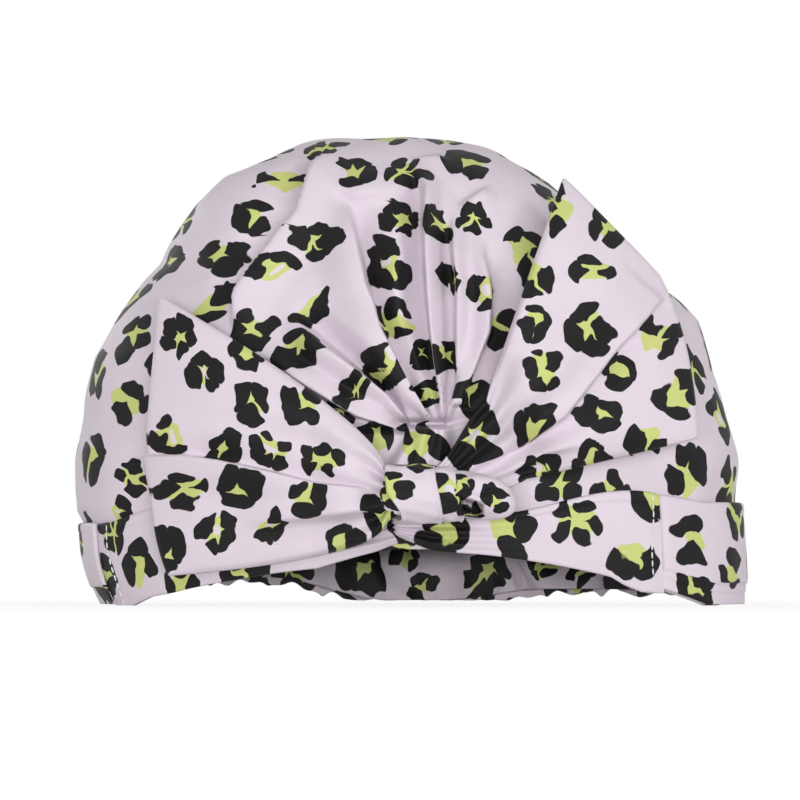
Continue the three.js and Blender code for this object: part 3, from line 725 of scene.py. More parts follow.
# Folds of the crown's front, as lines in the front view (x, z), high side on the left of the way.
CROWN_FOLDS = [
    {"line": [(-1.2, 189.5), (6.5, 176.7), (6.5, 160), (7.4, 136), (9.2, 114), (12.6, 89.4), (13.5, 77.4)],
     "height": 9, "wide": 8, "groove": 7, "ends": (0.2, 0.02)},
    {"line": [(18.5, 167.7), (18, 160.8), (18.7, 150.5), (20.2, 135.5), (20, 114), (19.8, 95), (17.4, 86),
              (14.8, 76)], "height": 7, "wide": 7, "groove": 3, "ends": (0.2, 0.02)},
    {"line": [(19.1, 83.9), (20.9, 90.3), (27.7, 109), (30.3, 116), (31.2, 132.4), (28.6, 147.5),
              (28.6, 159)], "height": 7, "wide": 7, "drop": 5, "groove": 5, "ends": (0.02, 0.3)},
    {"line": [(8, 78.3), (3.7, 83.9), (-2.8, 94.6), (-8.4, 105.4), (-14.4, 117), (-17, 126.9), (-20.4, 135.5),
              (-23.9, 152.6), (-28.6, 174)], "height": 9, "wide": 20, "groove": 7, "ends": (0.02, 0.2)},
    {"line": [(-30, 197), (-40.6, 184.9), (-47.5, 166), (-54.4, 159), (-64.3, 145.3), (-72.2, 133.5),
              (-75, 113)], "height": 6, "wide": 16, "drop": 3, "groove": 4.5},
    {"line": [(-1.5, 76), (-11, 88), (-23, 97.6), (-38.5, 109), (-46.7, 117), (-54, 126)], "height": 8,
     "wide": 9, "drop": 3.5, "groove": 8, "ends": (0.02, 0.3)},
    {"line": [(-64, 108), (-48.8, 98), (-22.6, 81.3), (-1.5, 74.4)], "height": 6, "wide": 8, "drop": 4,
     "groove": 5.5, "ends": (0.3, 0.02)},
    {"line": [(36, 178), (19, 166.5)], "height": 3, "wide": 8, "drop": 4, "hidden": 3, "ends": (0.4, 0.3)},
    {"line": [(17.8, 190.5), (-0.2, 189.2)], "height": 1.6, "wide": 9, "drop": 2, "hidden": 2,
     "ends": (0.4, 0.3)},
    {"line": [(-36, 180), (-23, 176), (-8, 177), (2, 180)], "height": 3, "wide": 12, "drop": 6, "groove": 2,
     "hidden": 3, "ends": (0.3, 0.3)},
    {"line": [(-8, 112), (-9, 126), (-8, 140), (-3, 158)], "height": 2.6, "wide": 10, "drop": 9, "groove": 1,
     "hidden": 0, "over": 0, "ends": (0.3, 0.3)},
]

CROWN_RAYS, CROWN_RINGS, CROWN_CLOTH = 320, 156, 0.8
LAYER_RAYS, LAYER_RINGS = 240, 60
LAYER_REACH, LAYER_EASE = 0.985, 17
FAN_REACH, FAN_LEAST = 45, 0.16  # the fan's folds are smaller this near the throat
PIT_DEPTH, PIT_HALF_WIDTH, PIT_HEIGHT, PIT_HALF_TALL = 7, 12, 77, 1.6
BUNCH_PROUD = 8.5
CROWN_DENTS = ((46, 3.1, 1.5), (19, 8.7, 0.7))
GATHERS, GATHER_WIDTH = 31, 0.31
GATHER_PHASES = np.random.default_rng(7).uniform(-0.42, 0.42, 2 * GATHERS)
GATHER_HEIGHTS = np.random.default_rng(11).uniform(0.35, 1.0, 2 * GATHERS)
GATHER_CLIMBS = np.random.default_rng(13).uniform(30, 95, 2 * GATHERS)


def gathers(angle, climb, wander):
    """Ridges drawn up by the elastic, by plan angle and height above the hem, from 0 to 1."""
    turn = np.clip(angle, 0, math.pi) / math.pi * GATHERS + wander
    value = np.zeros(np.broadcast(turn, climb).shape)
    for number in range(GATHERS + 1):
        away = turn - number - GATHER_PHASES[number]
        ridge = np.exp(-((away / GATHER_WIDTH) ** 2))
        fade = 1 - smoothstep(climb, 0, GATHER_CLIMBS[number])
        value += GATHER_HEIGHTS[number] * ridge * fade
    return value


def inner_folds(points):
    """Soft slanting folds of the cloth inside the rear hem, from 0 to 1."""
    x, y, z = np.moveaxis(points, -1, 0)
    return np.clip(0.5 + 1.1 * crumple(together(x + 0.7 * z, 0.3 * y, 0.4 * z), 14, 31.3), 0, 1)


def layer(dome, rays, rings, inset, front_reach=1.0, ease=0):
    """Rays from the throat over the dome to places spread evenly round the hem. A layer with ease keeps
    that much further in behind the fan. At the rear, every layer runs into the casing's top."""
    turn = 2 * math.pi * np.arange(rays) / rays
    rim = together(np.cos(turn), np.sin(turn))
    reach = mix(front_reach, 1, smoothstep(np.sin(turn), -0.2, 0.1))
    steps = np.linspace(0, 1, rings + 1)[:, None] ** 1.35 * reach
    at = dome.throat + steps[..., None] * (rim - dome.throat)
    made = dome.point(at[..., 0], at[..., 1], inset)
    zone = smoothstep(-made[..., 1], 0, 40) * smoothstep(made[..., 2], 50, 80)
    made = dome.point(at[..., 0], at[..., 1], inset + ease * zone)
    climb = made[..., 2] - dome.hem_height(plan_angle(at))
    tuck = (CASING_THICKNESS / 2 - 0.4 * inset) * smoothstep(made[..., 1], 5, 30)
    tuck = tuck * (1 - smoothstep(climb, 0, 9))
    return dome.slope_shoulders(made) - unit(made * (1, 1, 0)) * tuck[..., None]


class CapSizes(bpy.types.PropertyGroup):
    half_width: FloatProperty(
        name="Half width", description="Half of the crown's width", default=0.145, unit="LENGTH"
    )
    height: FloatProperty(name="Height", description="Height of the crown", default=0.202, unit="LENGTH")
    front_depth: FloatProperty(
        name="Front depth", description="From the middle to the crown's front", default=0.08, unit="LENGTH"
    )
    back_depth: FloatProperty(
        name="Back depth", description="From the middle to the crown's back", default=0.094, unit="LENGTH"
    )
    arch_height: FloatProperty(
        name="Arch height", description="Rise of the front hem over the forehead",
        default=0.024, unit="LENGTH",
    )
    band_width: FloatProperty(
        name="Band width", description="Width of the front band", default=0.034, unit="LENGTH"
    )
    pleat_depth: FloatProperty(
        name="Pleat depth", description="Depth of the fan's pleats near the throat",
        default=0.0014, unit="LENGTH",
    )
    gather_depth: FloatProperty(
        name="Gather depth", description="Depth of the gathers above the elastic",
        default=0.007, unit="LENGTH",
    )
    crumple_depth: FloatProperty(
        name="Crumple depth", description="Depth of the soft dents in the cloth",
        default=0.0016, unit="LENGTH",
    )


class CapLook(bpy.types.PropertyGroup):
    ground: FloatVectorProperty(
        name="Ground", description="Lilac of the cloth", subtype="COLOR", default=(0.745, 0.668, 0.735)
    )
    ground_shade: FloatVectorProperty(
        name="Ground shade", description="Deeper lilac of the cloth",
        subtype="COLOR", default=(0.69, 0.6, 0.68),
    )
    ink: FloatVectorProperty(
        name="Ink", description="Black of the print", subtype="COLOR", default=(0.004, 0.004, 0.004)
    )
    ink_worn: FloatVectorProperty(
        name="Worn ink", description="Black where the ribs show",
        subtype="COLOR", default=(0.012, 0.011, 0.012),
    )
    centre: FloatVectorProperty(
        name="Centre", description="Yellow green of the print", subtype="COLOR", default=(0.58, 0.63, 0.215)
    )
    film: FloatVectorProperty(
        name="Film", description="Waterproof film", subtype="COLOR", default=(0.8, 0.83, 0.85)
    )
    elastic: FloatVectorProperty(
        name="Elastic", description="Elastic tape", subtype="COLOR", default=(0.86, 0.85, 0.82)
    )
    thread: FloatVectorProperty(
        name="Thread", description="White seam thread", subtype="COLOR", default=(0.88, 0.87, 0.86)
    )
    print_spacing: FloatProperty(
        name="Print spacing", description="Distance between rosettes", default=0.0265, unit="LENGTH"
    )
    rib_pitch: FloatProperty(
        name="Rib pitch", description="Distance between the cloth's ribs", default=0.0009, unit="LENGTH"
    )


class CapStage(bpy.types.PropertyGroup):
    floor: FloatVectorProperty(
        name="Floor", description="Colour of the floor", subtype="COLOR", default=(0.86, 0.86, 0.86)
    )
    key_power: FloatProperty(
        name="Key light", description="Power of the main lamp", default=7.3, unit="POWER"
    )
    fill_power: FloatProperty(
        name="Fill light", description="Power of the fill lamp", default=2.9, unit="POWER"
    )
    ambient: FloatProperty(name="Ambient", description="Strength of the light from all round", default=0.45)
    distance: FloatProperty(
        name="Camera distance", description="From the camera to the cap", default=3.437, unit="LENGTH"
    )


class CapPiece:
    """What the operators of the cap's pieces share."""

    bl_options = {"REGISTER", "UNDO"}

    def dome(self, context):
        return Dome(context.scene.cap_sizes)

    def stretch(self, piece):
        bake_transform(piece)


class SHOWERCAP_OT_crown(CapPiece, bpy.types.Operator):
    """Puffed crown of printed cloth with its fan of pleats and its rear gathers"""

    bl_idname = "showercap.crown"
    bl_label = "Crown"

    def execute(self, context):
        sizes = context.scene.cap_sizes
        dome = self.dome(context)
        smooth = layer(dome, CROWN_RAYS, CROWN_RINGS, 0)
        x, y, z = np.moveaxis(smooth, -1, 0)
        throat = smooth[0, 0]
        distance = np.linalg.norm(smooth - throat, axis=-1)
        outward = dome.normal(smooth)
        outward[..., 2] *= np.where(y < 0, smoothstep(z, 150, 195), 1)
        outward = unit(outward)
        on_front = smoothstep(-y, -12, 12)
        proud = np.zeros(x.shape)
        hang = np.zeros(x.shape + (2,))
        slips = np.zeros(x.shape + (2,))
        shrink = np.clip(np.hypot(x - THROAT_X, z - THROAT_HEIGHT) / FAN_REACH, FAN_LEAST, 1)
        for lines in CROWN_FOLDS:
            rise, over, slip = fold(x, z, shrink=shrink, **lines)
            proud += on_front * rise
            hang += on_front[..., None] * over
            slips += on_front[..., None] * slip
        # Pleats that fan out from the throat, the pit that they sink into, and the cloth bunched below it.
        bearing = np.arctan2(z - throat[2], x - throat[0])
        above = smoothstep(np.sin(bearing), -0.1, 0.25)
        rays = np.cos(9 * bearing + 0.8 * np.sin(5 * bearing)) * (1 - smoothstep(distance, 14, 48))
        proud += sizes.pleat_depth / MM * above * rays * smoothstep(distance, 5, 16) * on_front
        aside, up = (x - THROAT_X) / PIT_HALF_WIDTH, (z - PIT_HEIGHT) / PIT_HALF_TALL
        proud -= PIT_DEPTH * np.exp(-(aside**4) - up**2) * on_front
        left = mix(-14, -4, np.clip((z - 56) / 16, 0, 1))
        bunch = smoothstep(x, left, left + 7) * (1 - smoothstep(x, 11, 19))
        bunch = bunch * smoothstep(z, 46, 55) * (1 - smoothstep(z, 74, 76.5))
        proud += BUNCH_PROUD * bunch * (1 + 0.14 * np.cos(0.75 * (x - 2) - 0.2 * (z - 60))) * on_front
        hem = dome.hem_height(plan_angle(smooth))
        free = smoothstep(z, hem + 4, hem + 40)
        dents = lumps(smooth, CROWN_DENTS) + 0.5 * (1 - on_front)
        proud += sizes.crumple_depth / MM * free * dents
        wander = 0.5 * crumple(smooth, 40, 21.0)
        climb = z - CASING_HEIGHT
        rear = smoothstep(y, 5, 45)
        ridges = gathers(plan_angle(smooth), climb, wander)
        proud += sizes.gather_depth / MM * rear * (ridges - 0.25 * (1 - smoothstep(climb, 0, 60)))
        made = smooth + outward * proud[..., None]
        made[..., 0] += hang[..., 0]
        made[..., 2] = np.maximum(0, made[..., 2] + hang[..., 1])
        printed = smooth.copy()
        printed[..., ::2] += slips
        skin = Skin().add(made, dome.cloth_map(smooth) + slips, wrap=True, printed=printed)
        piece = skin.build("crown", finish("rosette_cloth"), thickness=CROWN_CLOTH)
        self.stretch(piece)
        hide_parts("crown_shell")
        return {"FINISHED"}


class SHOWERCAP_OT_layers(CapPiece, bpy.types.Operator):
    """Waterproof film and printed lining inside the crown"""

    bl_idname = "showercap.layers"
    bl_label = "Film and lining"

    def hang_down(self, dome, smooth, places):
        """The lining's rear edge hangs down inside the casing."""
        edge = smooth[-1]
        down = np.linspace(0, 1, 17)[1:, None] * smoothstep(edge[:, 1], 4, 22)
        drop = down * np.maximum(0, edge[:, 2] - dome.casing_low(edge[:, 0]) - 1.5)
        below = edge - together(0, 0, drop)
        beyond = places[-1] + unit(places[-1]) * drop[..., None]
        return np.concatenate([smooth, below]), np.concatenate([places, beyond])

    def execute(self, context):
        dome = self.dome(context)
        for name, node, inset, depth, cloth, material, slot in (
            ("film", "waterproof_film", 3.4, 0.0, 0.4, "milky_film", "film"),
            ("lining_cloth", "lining", 4.8, 1.6, 0.6, "rosette_cloth", "printed_cloth"),
        ):
            smooth = layer(dome, LAYER_RAYS, LAYER_RINGS, inset, LAYER_REACH, LAYER_EASE)
            places = dome.cloth_map(smooth)
            if node == "lining":
                smooth, places = self.hang_down(dome, smooth, places)
            angle = plan_angle(smooth)
            climb = smooth[..., 2] - CASING_HEIGHT
            rear = smoothstep(smooth[..., 1], 5, 45)
            inward = unit(smooth * (1, 1, 0))
            ridges = gathers(angle + 0.04, climb, 0.4 * crumple(smooth, 40, 5.0))
            sunk = 1.6 * ridges + (2.4 + 8 * inner_folds(smooth)) * (1 - smoothstep(climb, 6, 45))
            made = smooth - inward * (depth * rear * sunk)[..., None]
            skin = Skin().add(made, places, wrap=True, printed=smooth)
            piece = skin.build(name, finish(material), thickness=cloth)
            self.stretch(piece)
            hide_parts(node)
        return {"FINISHED"}


# How far the lower edge of each half of the band hangs below the arch, by x.
BAND_SAG = {
    "band_left": ((-115, -104, -76, -40, -15, -3), (0, 1.7, 3.9, 4.9, 0, -4.3)),
    "band_right": ((-6, 9, 30, 54, 73, 84, 90, 97, 105), (-6, 0, 1, 2.6, 3.8, 4.4, 6.6, 7.6, 6)),
}


class SHOWERCAP_OT_bands(CapPiece, bpy.types.Operator):
    """Two halves of the front band, gathered into the knot"""

    bl_idname = "showercap.bands"
    bl_label = "Front band"

    def execute(self, context):
        dome = self.dome(context)
        # The right half's end is folded in under the knot, over the left half's.
        for name, end, lift, stop in (
            ("band_left", dome.left_seam, 0, BAND_MEETING - 0.5),
            ("band_right", dome.right_seam, BAND_LIFT_RIGHT, BAND_MEETING - 8),
        ):
            side = math.copysign(1, end)
            t = np.linspace(0, 1, BAND_GRID[0])[:, None]
            s = np.linspace(0, 1, BAND_GRID[1])[None, :]
            x = mix(end + side * 1.6, stop, t) + 0 * s
            from_knot = np.abs(x - BAND_MEETING)
            waist = smoothstep(from_knot, BAND_WAIST_START, BAND_WAIST_REACH)
            low = dome.arch_height(x) + lift * smoothstep(np.abs(x), 0, abs(end))
            high = low + mix(BAND_WAIST, dome.band, waist)
            low = low - np.interp(x, *BAND_SAG[name])
            over = 1 - smoothstep(x, -6, 12) if side > 0 else 0
            z = mix(low, high - 1.5 * over, s)
            y = dome.front_face(x, z) - BAND_GAP - 3 * over
            drawn = 1 - smoothstep(from_knot, 4, 62)
            ridges = 0.9 * drawn * (1 + np.cos(2 * math.pi * (2.6 * s + 0.5 * t + 0.1))) + 1.2 * over * s
            lip = 0.9 * smoothstep(s, 0.90, 0.93) * (1 - drawn * 0.5)
            back = together(x, y, z)
            dents = 0.5 * (1 + crumple(back, 22, 4.4))
            thick = (BAND_CLOTH - 0.6 + ridges + lip + dents) * mix(0.5, 1, smoothstep(t, 0, 0.04))
            front = together(x, y - thick, z)
            run = lengths_along(back[:, 20])
            places = together(run[:, None], z - low)
            piece = doubled_cloth(name, front, back, places, finish("rosette_cloth"))
            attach(piece, "cap")
            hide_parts(name.replace("band", "front_band"))
        return {"FINISHED"}


class SHOWERCAP_OT_side_casings(CapPiece, bpy.types.Operator):
    """Flat casings of the hem's two sides"""

    bl_idname = "showercap.side_casings"
    bl_label = "Side casings"

    def execute(self, context):
        dome = self.dome(context)
        for name, side, end, rise, turned_up in (
            ("casing_left", -1, dome.left_seam, 0, ((0.2, 0.9),)),
            ("casing_right", 1, dome.right_seam, SIDE_CASING_RISE_RIGHT, ((0.11, 0.5), (0.2, 0.9))),
        ):
            start = dome.front_angle(end + side)
            angle = np.linspace(start, dome.side_end, SIDE_GRID[0])[:, None]
            s = np.linspace(0, 1, SIDE_GRID[1])[None, :]
            low = dome.arch_height(dome.half * np.cos(angle) ** (2 / PLAN))
            z = mix(low + 1, low / 2 + dome.band + rise, s)
            back = dome.hem_point(angle, z, BAND_GAP)
            proud = 0.8 + 0.35 * smoothstep(s, 0.92, 0.94) + 0.35 * (1 + crumple(back, 26, 9.0))
            for place, step in turned_up:
                proud = proud + step * smoothstep(s, place - 0.01, place + 0.01)
            front = dome.hem_point(angle, z, BAND_GAP + proud)
            for layer_points in (back, front):
                lean = dome.lean(layer_points[..., 2])
                layer_points[..., 0] = side * (layer_points[..., 0] - lean) + lean
            run = lengths_along(back[:, 20])
            places = together(run[:, None], z + 6 * (s > 0.21))
            piece = doubled_cloth(name, front, back, places, finish("rosette_cloth"))
            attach(piece, "cap")
            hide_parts(name.replace("casing", "side_casing"))
        return {"FINISHED"}


class SHOWERCAP_OT_rear_hem(CapPiece, bpy.types.Operator):
    """Gathered casing of the rear hem, with the elastic tape in it"""

    bl_idname = "showercap.rear_hem"
    bl_label = "Rear hem"

    def execute(self, context):
        dome = self.dome(context)
        begin = dome.side_end + 1 / dome.back
        angle = np.linspace(begin, math.pi - begin, HEM_GRID[0])
        middle = dome.hem_point(angle, CASING_HEIGHT / 2, -CASING_THICKNESS / 2)
        middle[:, 2] += dome.casing_low(middle[:, 0])
        outward = unit(together(middle[:, 0] / dome.half**2, middle[:, 1] / dome.back**2, 0))
        run = lengths_along(middle)
        ends = smoothstep(run, 0, HEM_EASE) * (1 - smoothstep(run, run[-1] - HEM_EASE, run[-1]))
        outer = gathers(plan_angle(middle), np.zeros(angle.shape), 0) * ends
        inner = gathers(plan_angle(middle) + 0.05, np.zeros(angle.shape), 0) * ends
        half, tall = CASING_THICKNESS / 2, CASING_HEIGHT / 2
        # Its section, at even steps round from the inner side.
        turn = np.linspace(-math.pi, math.pi, 721)
        section = signed_power(together(np.cos(turn), np.sin(turn)), HEM_SQUARE)
        lengths = lengths_along(section * (half, tall))
        around = np.linspace(0, lengths[-1], HEM_GRID[1], endpoint=False)
        out, up = (np.interp(around, lengths, part) for part in section.T)
        sway = sum(np.array([noise.noise(Vector((r / w, 2.0, 5.0))) for r in run]) for w in (21, 9)) * ends
        below = 1.3 - 0.55 * np.abs(sway)[:, None]
        lift = tall * up[None, :] * np.where(up > 0, 1 + 0.05 * sway[:, None], below)
        leaning = 1 - 0.6 * smoothstep(up, -0.2, 1)
        inside = half * (0.75 + 0.6 * inner[:, None]) * leaning
        proud = np.where(out[None, :] > 0, half * (0.75 + 0.9 * outer[:, None]), inside) * out
        pinch = 1 - 0.45 * np.exp(-(((up[None, :] - 0.62) / 0.12) ** 2)) * (out > 0.8)
        made = middle[:, None] + outward[:, None] * (proud * pinch)[..., None]
        made[..., 2] = np.maximum(1.2 + 1.6 * np.abs(sway)[:, None], middle[:, 2:] + lift)
        skin = Skin().add(made, together(1.15 * run[:, None], around), wrap=True)
        casing = skin.build("rear_ruffle", finish("rosette_cloth"), thickness=RUFFLE_CLOTH)
        self.stretch(casing)
        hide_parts("rear_casing")

        rise = TAPE_HALF_WIDTH * np.linspace(-1, 1, 9)
        tape = [
            middle[::4, None] + outward[::4, None] * off + together(0, 0, rise)
            for off in (TAPE_HALF_THICKNESS, -TAPE_HALF_THICKNESS)
        ]
        places = together(run[::4, None], rise)
        elastic = doubled_cloth("elastic_tape", *tape, places, finish("woven_elastic"))
        self.stretch(elastic)
        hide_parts("rear_elastic")
        return {"FINISHED"}


# How thick a wing's cloth, puff and pleats are, the least of all, and how far it flares from the crown.
WING_CLOTH, WING_PUFF, WING_PLEATS, WING_LEAST, WING_FLARE = 2.2, 6, 2.2, 1.4, 15
WING_DENTS = ((34, 2.0, 2.2), (14, 6.0, 0.6))
# A wing in the front view: the root is the middle of the neck, the tilt the direction to the tip, and the
# chord the direction of the neck and of the outer edge. Its folds are lines as on the crown.
WINGS = {
    "bow_left": {
        "root": (-11, 48), "tilt": 165.8, "chord": 91, "length": 97, "bulge": 6, "neck": 19, "tip": 116,
        "flare": 0.62, "lift": 12, "clear": 2, "run_on": 0.04, "to_knot": (5, 0, 0), "inner": 16,
        "body": "wing_left", "node": "left_wing", "turn": 12, "print_scale": 1.0,
        "folds": [
            {"line": [(-14, 47.5), (-40, 50), (-60, 55), (-82, 60), (-98, 62), (-118, 61.5)], "height": 6.5,
             "wide": 17, "groove": 3, "ends": (0.12, 0.02)},
            {"line": [(-76, 35.5), (-48, 39), (-29, 41), (-10, 44.5)], "height": 3.5, "wide": 8, "drop": 6,
             "groove": 2, "hidden": 4, "ends": (0.4, 0.2)},
        ],
    },
    "bow_right": {
        "root": (40, 70), "tilt": 47, "chord": 117, "length": 77, "bulge": 18, "neck": 34, "tip": 122,
        "flare": 0.95, "lift": 0, "clear": 7, "run_on": 0.4, "to_knot": (-27, -20, 9), "inner": 14,
        "body": "wing_right", "node": "right_wing", "turn": -20, "print_scale": 1.25,
        "folds": [
            {"line": [(20, 59), (29.5, 61.5), (45, 68.4), (57.4, 76.5), (63.4, 80.8), (78, 99.3),
                      (86.6, 110.5), (94, 117.8), (106, 132)], "height": 7, "wide": 24,
             "groove": 3.5, "ends": (0.15, 0.02)},
            {"line": [(25, 55), (45, 60), (54, 66), (66, 68.5), (80, 69)], "height": 3.5, "wide": 8,
             "drop": 5, "groove": 2, "hidden": 4, "ends": (0.2, 0.4)},
        ],
    },
}


class SHOWERCAP_OT_wings(CapPiece, bpy.types.Operator):
    """Bow wings: cloth folded double, drawn into the knot and folded over itself along a crease"""

    bl_idname = "showercap.wings"
    bl_label = "Bow wings"

    def execute(self, context):
        dome = self.dome(context)
        for number, (name, wing) in enumerate(WINGS.items()):
            along = np.linspace(-wing["run_on"], 1, WING_GRID[0])[:, None]
            across = np.linspace(0, 1, WING_GRID[1])[None, :]
            inside = np.clip(-along / max(wing["run_on"], 1e-6), 0, 1)
            along = np.maximum(0, along)
            tilt, chord = math.radians(wing["tilt"]), math.radians(wing["chord"])
            half = mix(wing["neck"], wing["tip"], along ** wing["flare"]) / 2
            half = mix(half, wing["inner"] / 2, smoothstep(inside, 0, 1))
            side = 2 * across - 1
            bow = 1 - np.where(side > 0, side, side**2)
            reach = wing["length"] * along + wing["bulge"] * bow * along**2
            x, z = (
                root + reach * to_tip + side * half * to_edge + inside * to_knot
                for root, to_tip, to_edge, to_knot in zip(
                    wing["root"],
                    (math.cos(tilt), math.sin(tilt)),
                    (math.cos(chord), math.sin(chord)),
                    wing["to_knot"],
                )
            )
            stand = mix(1, 5, smoothstep(along, 0, 0.3))
            flare = WING_FLARE * smoothstep(along, 0, 0.5)
            y = dome.front_face(x, z, flare, stand, flare)
            y = y - wing["lift"] * (1 - smoothstep(along, 0, 0.35))
            y = y - wing["to_knot"][2] * smoothstep(inside, 0, 0.8)
            y = y - wing["clear"] * smoothstep(across, 0.5, 1) * smoothstep(along, 0.05, 0.4)
            back = together(x, y, z)
            open_out = smoothstep(along, 0, 0.25)
            puff = np.sqrt(np.sin(math.pi * across)) * open_out * (1 - 0.75 * along**5)
            folded = [fold(x, z, **lines) for lines in wing["folds"]]
            proud, hang, slip = (sum(parts) for parts in zip(*folded))
            spread = np.exp(-along / 0.33) * (1 - 0.6 * inside)
            rays = np.cos(2 * math.pi * (3.4 * across + 0.6 * along + 0.35 * number))
            dents = lumps(back, WING_DENTS, number)
            thick = WING_CLOTH + WING_PUFF * puff + proud * np.sqrt(puff)
            thick = thick + WING_PLEATS * spread * (1 + rays) + dents * puff
            front = back + together(hang[..., 0], -np.maximum(WING_LEAST, thick), hang[..., 1])
            angle = math.radians(wing["turn"])
            flat_x, flat_z = x + slip[..., 0], z + slip[..., 1]
            places = together(
                flat_x * math.cos(angle) - flat_z * math.sin(angle),
                flat_x * math.sin(angle) + flat_z * math.cos(angle),
            )
            piece = doubled_cloth(name, front, back, places, finish("rosette_cloth"), wing["print_scale"])
            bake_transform(piece)
            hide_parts(wing["node"])
        return {"FINISHED"}


class SHOWERCAP_OT_knot(CapPiece, bpy.types.Operator):
    """Knot: gathered core, the strip wrapped round it twice, and the tie's rounded end"""

    bl_idname = "showercap.knot"
    bl_label = "Knot"

    def around(self, turn, x, proud, rise):
        return together(x, KNOT_Y + proud * np.cos(turn), KNOT_HEIGHT + rise * np.sin(turn))

    def execute(self, context):
        cloth = finish("rosette_cloth")
        turn = np.linspace(0, 2 * math.pi, KNOT_TURNS + 1)[:-1][None, :]
        facing = (1 - np.cos(turn)) / 2  # 1 at the front
        # The strip, in two flat laps with raised edges. The second comes out from under the first.
        skin = Skin()
        down = np.maximum(0, -np.sin(turn)) * facing
        lean = np.sin(turn) * facing
        for left, right, size, place in (
            (-10 - 1.5 * lean + 8 * down, 11 - 2.5 * lean, 1.0, 0),
            (10.4 - 2.5 * lean, 19.3 - 2.3 * lean + 2 * down**2, 0.93, 40),
        ):
            s = np.linspace(0, 1, 41)[:, None]
            x = mix(left, right, s)
            edge = np.abs(2 * s - 1)
            barrel = size * (1 - 0.05 * edge**4)
            ripple = 0.2 * np.sin(5 * turn + 9 * s) + 0.15 * np.sin(11 * turn - 5 * s)
            ripple = ripple + 0.45 * smoothstep(edge, 0.84, 0.93)
            outer, inner = (
                self.around(turn, x, KNOT_PROUD * barrel + ripple - wall, KNOT_RISE * barrel + ripple - wall)
                for wall in (0, KNOT_CLOTH)
            )
            places = together(x + place, turn / (2 * math.pi) * KNOT_ROUND)
            skin.add(outer, places, wrap=True).add(inner, places, wrap=True)
            for row in (0, -1):
                middle = (outer[row] + inner[row]) / 2 + ((-0.5 if row == 0 else 0.5), 0, 0)
                skin.add(np.stack([outer[row], middle, inner[row]]), places[[row] * 3], wrap=True)
        strip = skin.build("knot_strip", cloth)
        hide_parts("knot_wrap")

        # The gathered core, seen between the strip and the wings.
        s = np.linspace(0, 1, 41)[:, None]
        x = mix(-13.5, 21, s)
        size = 0.74 * np.sin(math.pi * s) ** 0.3
        pleats = 1 + 0.13 * np.cos(11 * turn + 2 * np.sin(3 * turn)) * (1 - smoothstep(s, 0.1, 0.5))
        core_points = self.around(turn, x, KNOT_PROUD * size * pleats, KNOT_RISE * size * pleats)
        skin = Skin().add(core_points, together(x, turn * 7), wrap=True)
        core = skin.build("knot_gathers", cloth, print_scale=0.75)
        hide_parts("knot_core")

        # The rounded end of the tie, folded in on itself beside the strip.
        s = np.linspace(0, 1, 61)[:, None]
        x = mix(16.5, 44, s)
        size = np.sqrt(1 - np.clip((s - 0.35) / 0.65, 0, 1) ** 2.3) * smoothstep(s, -0.05, 0.05) * 0.85
        tilt = 1.0 + 0.05 * np.sin(2 * turn + 1) + 0.04 * np.sin(5 * turn + 6 * s)
        end_points = self.around(turn, x, KNOT_PROUD * size * tilt, KNOT_RISE * size * tilt * 0.95)
        z = end_points[..., 2] - KNOT_HEIGHT
        way = end_points[..., 0] - 25
        hollow = np.exp(-((way / 4.6) ** 8) - ((z + 5 + 0.2 * way) / 2.8) ** 8) * facing
        flap = np.exp(-((way / 6) ** 4) - ((z + 0.8 + 0.2 * way) / 1.8) ** 2) * facing
        crease = np.exp(-(((z - 1.5 - 0.32 * (way - 4)) / 1.2) ** 2)) * facing
        crease = crease * smoothstep(way, 2, 6) * (1 - smoothstep(way, 9, 15))
        end_points[..., 1] += 16 * hollow - 2.4 * flap + 1.5 * crease
        end_points[..., 2] -= 4 * s**2
        skin = Skin().add(end_points, together(x, turn * 9), wrap=True)
        tail = skin.build("knot_end", cloth, print_scale=0.6)
        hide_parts("knot_tail")
        for piece in (strip, core, tail):
            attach(piece, "cap")
        return {"FINISHED"}


def stitch_row_tree():
    """Geometry nodes that lay stitches along the edges of a mesh."""
    tree = bpy.data.node_groups.new("stitch_row", "GeometryNodeTree")
    tree.is_modifier = True
    sockets = {}
    kinds = {"Geometry": "Geometry", "Pitch": "Float", "Stitch": "Vector", "Thread": "Material"}
    for name, kind in kinds.items():
        made = tree.interface.new_socket(name, in_out="INPUT", socket_type=f"NodeSocket{kind}")
        sockets[name] = made.identifier
    tree.interface.new_socket("Geometry", in_out="OUTPUT", socket_type="NodeSocketGeometry")
    g = Nodes(tree)
    given = g.node("NodeGroupInput").outputs
    curve = g.node("GeometryNodeMeshToCurve", Mesh=given["Geometry"]).outputs["Curve"]
    spaced = g.node("GeometryNodeResampleCurve", {"mode": "LENGTH"}, Curve=curve, Length=given["Pitch"])
    tangent = g.node("GeometryNodeInputTangent").outputs["Tangent"]
    turned = g.node("FunctionNodeAlignRotationToVector", {"axis": "Z"}, Vector=tangent)
    stitch = g.node("GeometryNodeMeshUVSphere", Segments=8, Rings=6, Radius=1.0)
    rows = g.node(
        "GeometryNodeInstanceOnPoints",
        Points=spaced.outputs["Curve"],
        Instance=stitch.outputs["Mesh"],
        Rotation=turned.outputs["Rotation"],
        Scale=given["Stitch"],
    )
    made = g.node("GeometryNodeRealizeInstances", Geometry=rows.outputs["Instances"]).outputs[0]
    made = g.node("GeometryNodeSetShadeSmooth", Geometry=made).outputs[0]
    made = g.node("GeometryNodeSetMaterial", Geometry=made, Material=given["Thread"]).outputs[0]
    g.node("NodeGroupOutput", Geometry=made)
    return tree, sockets


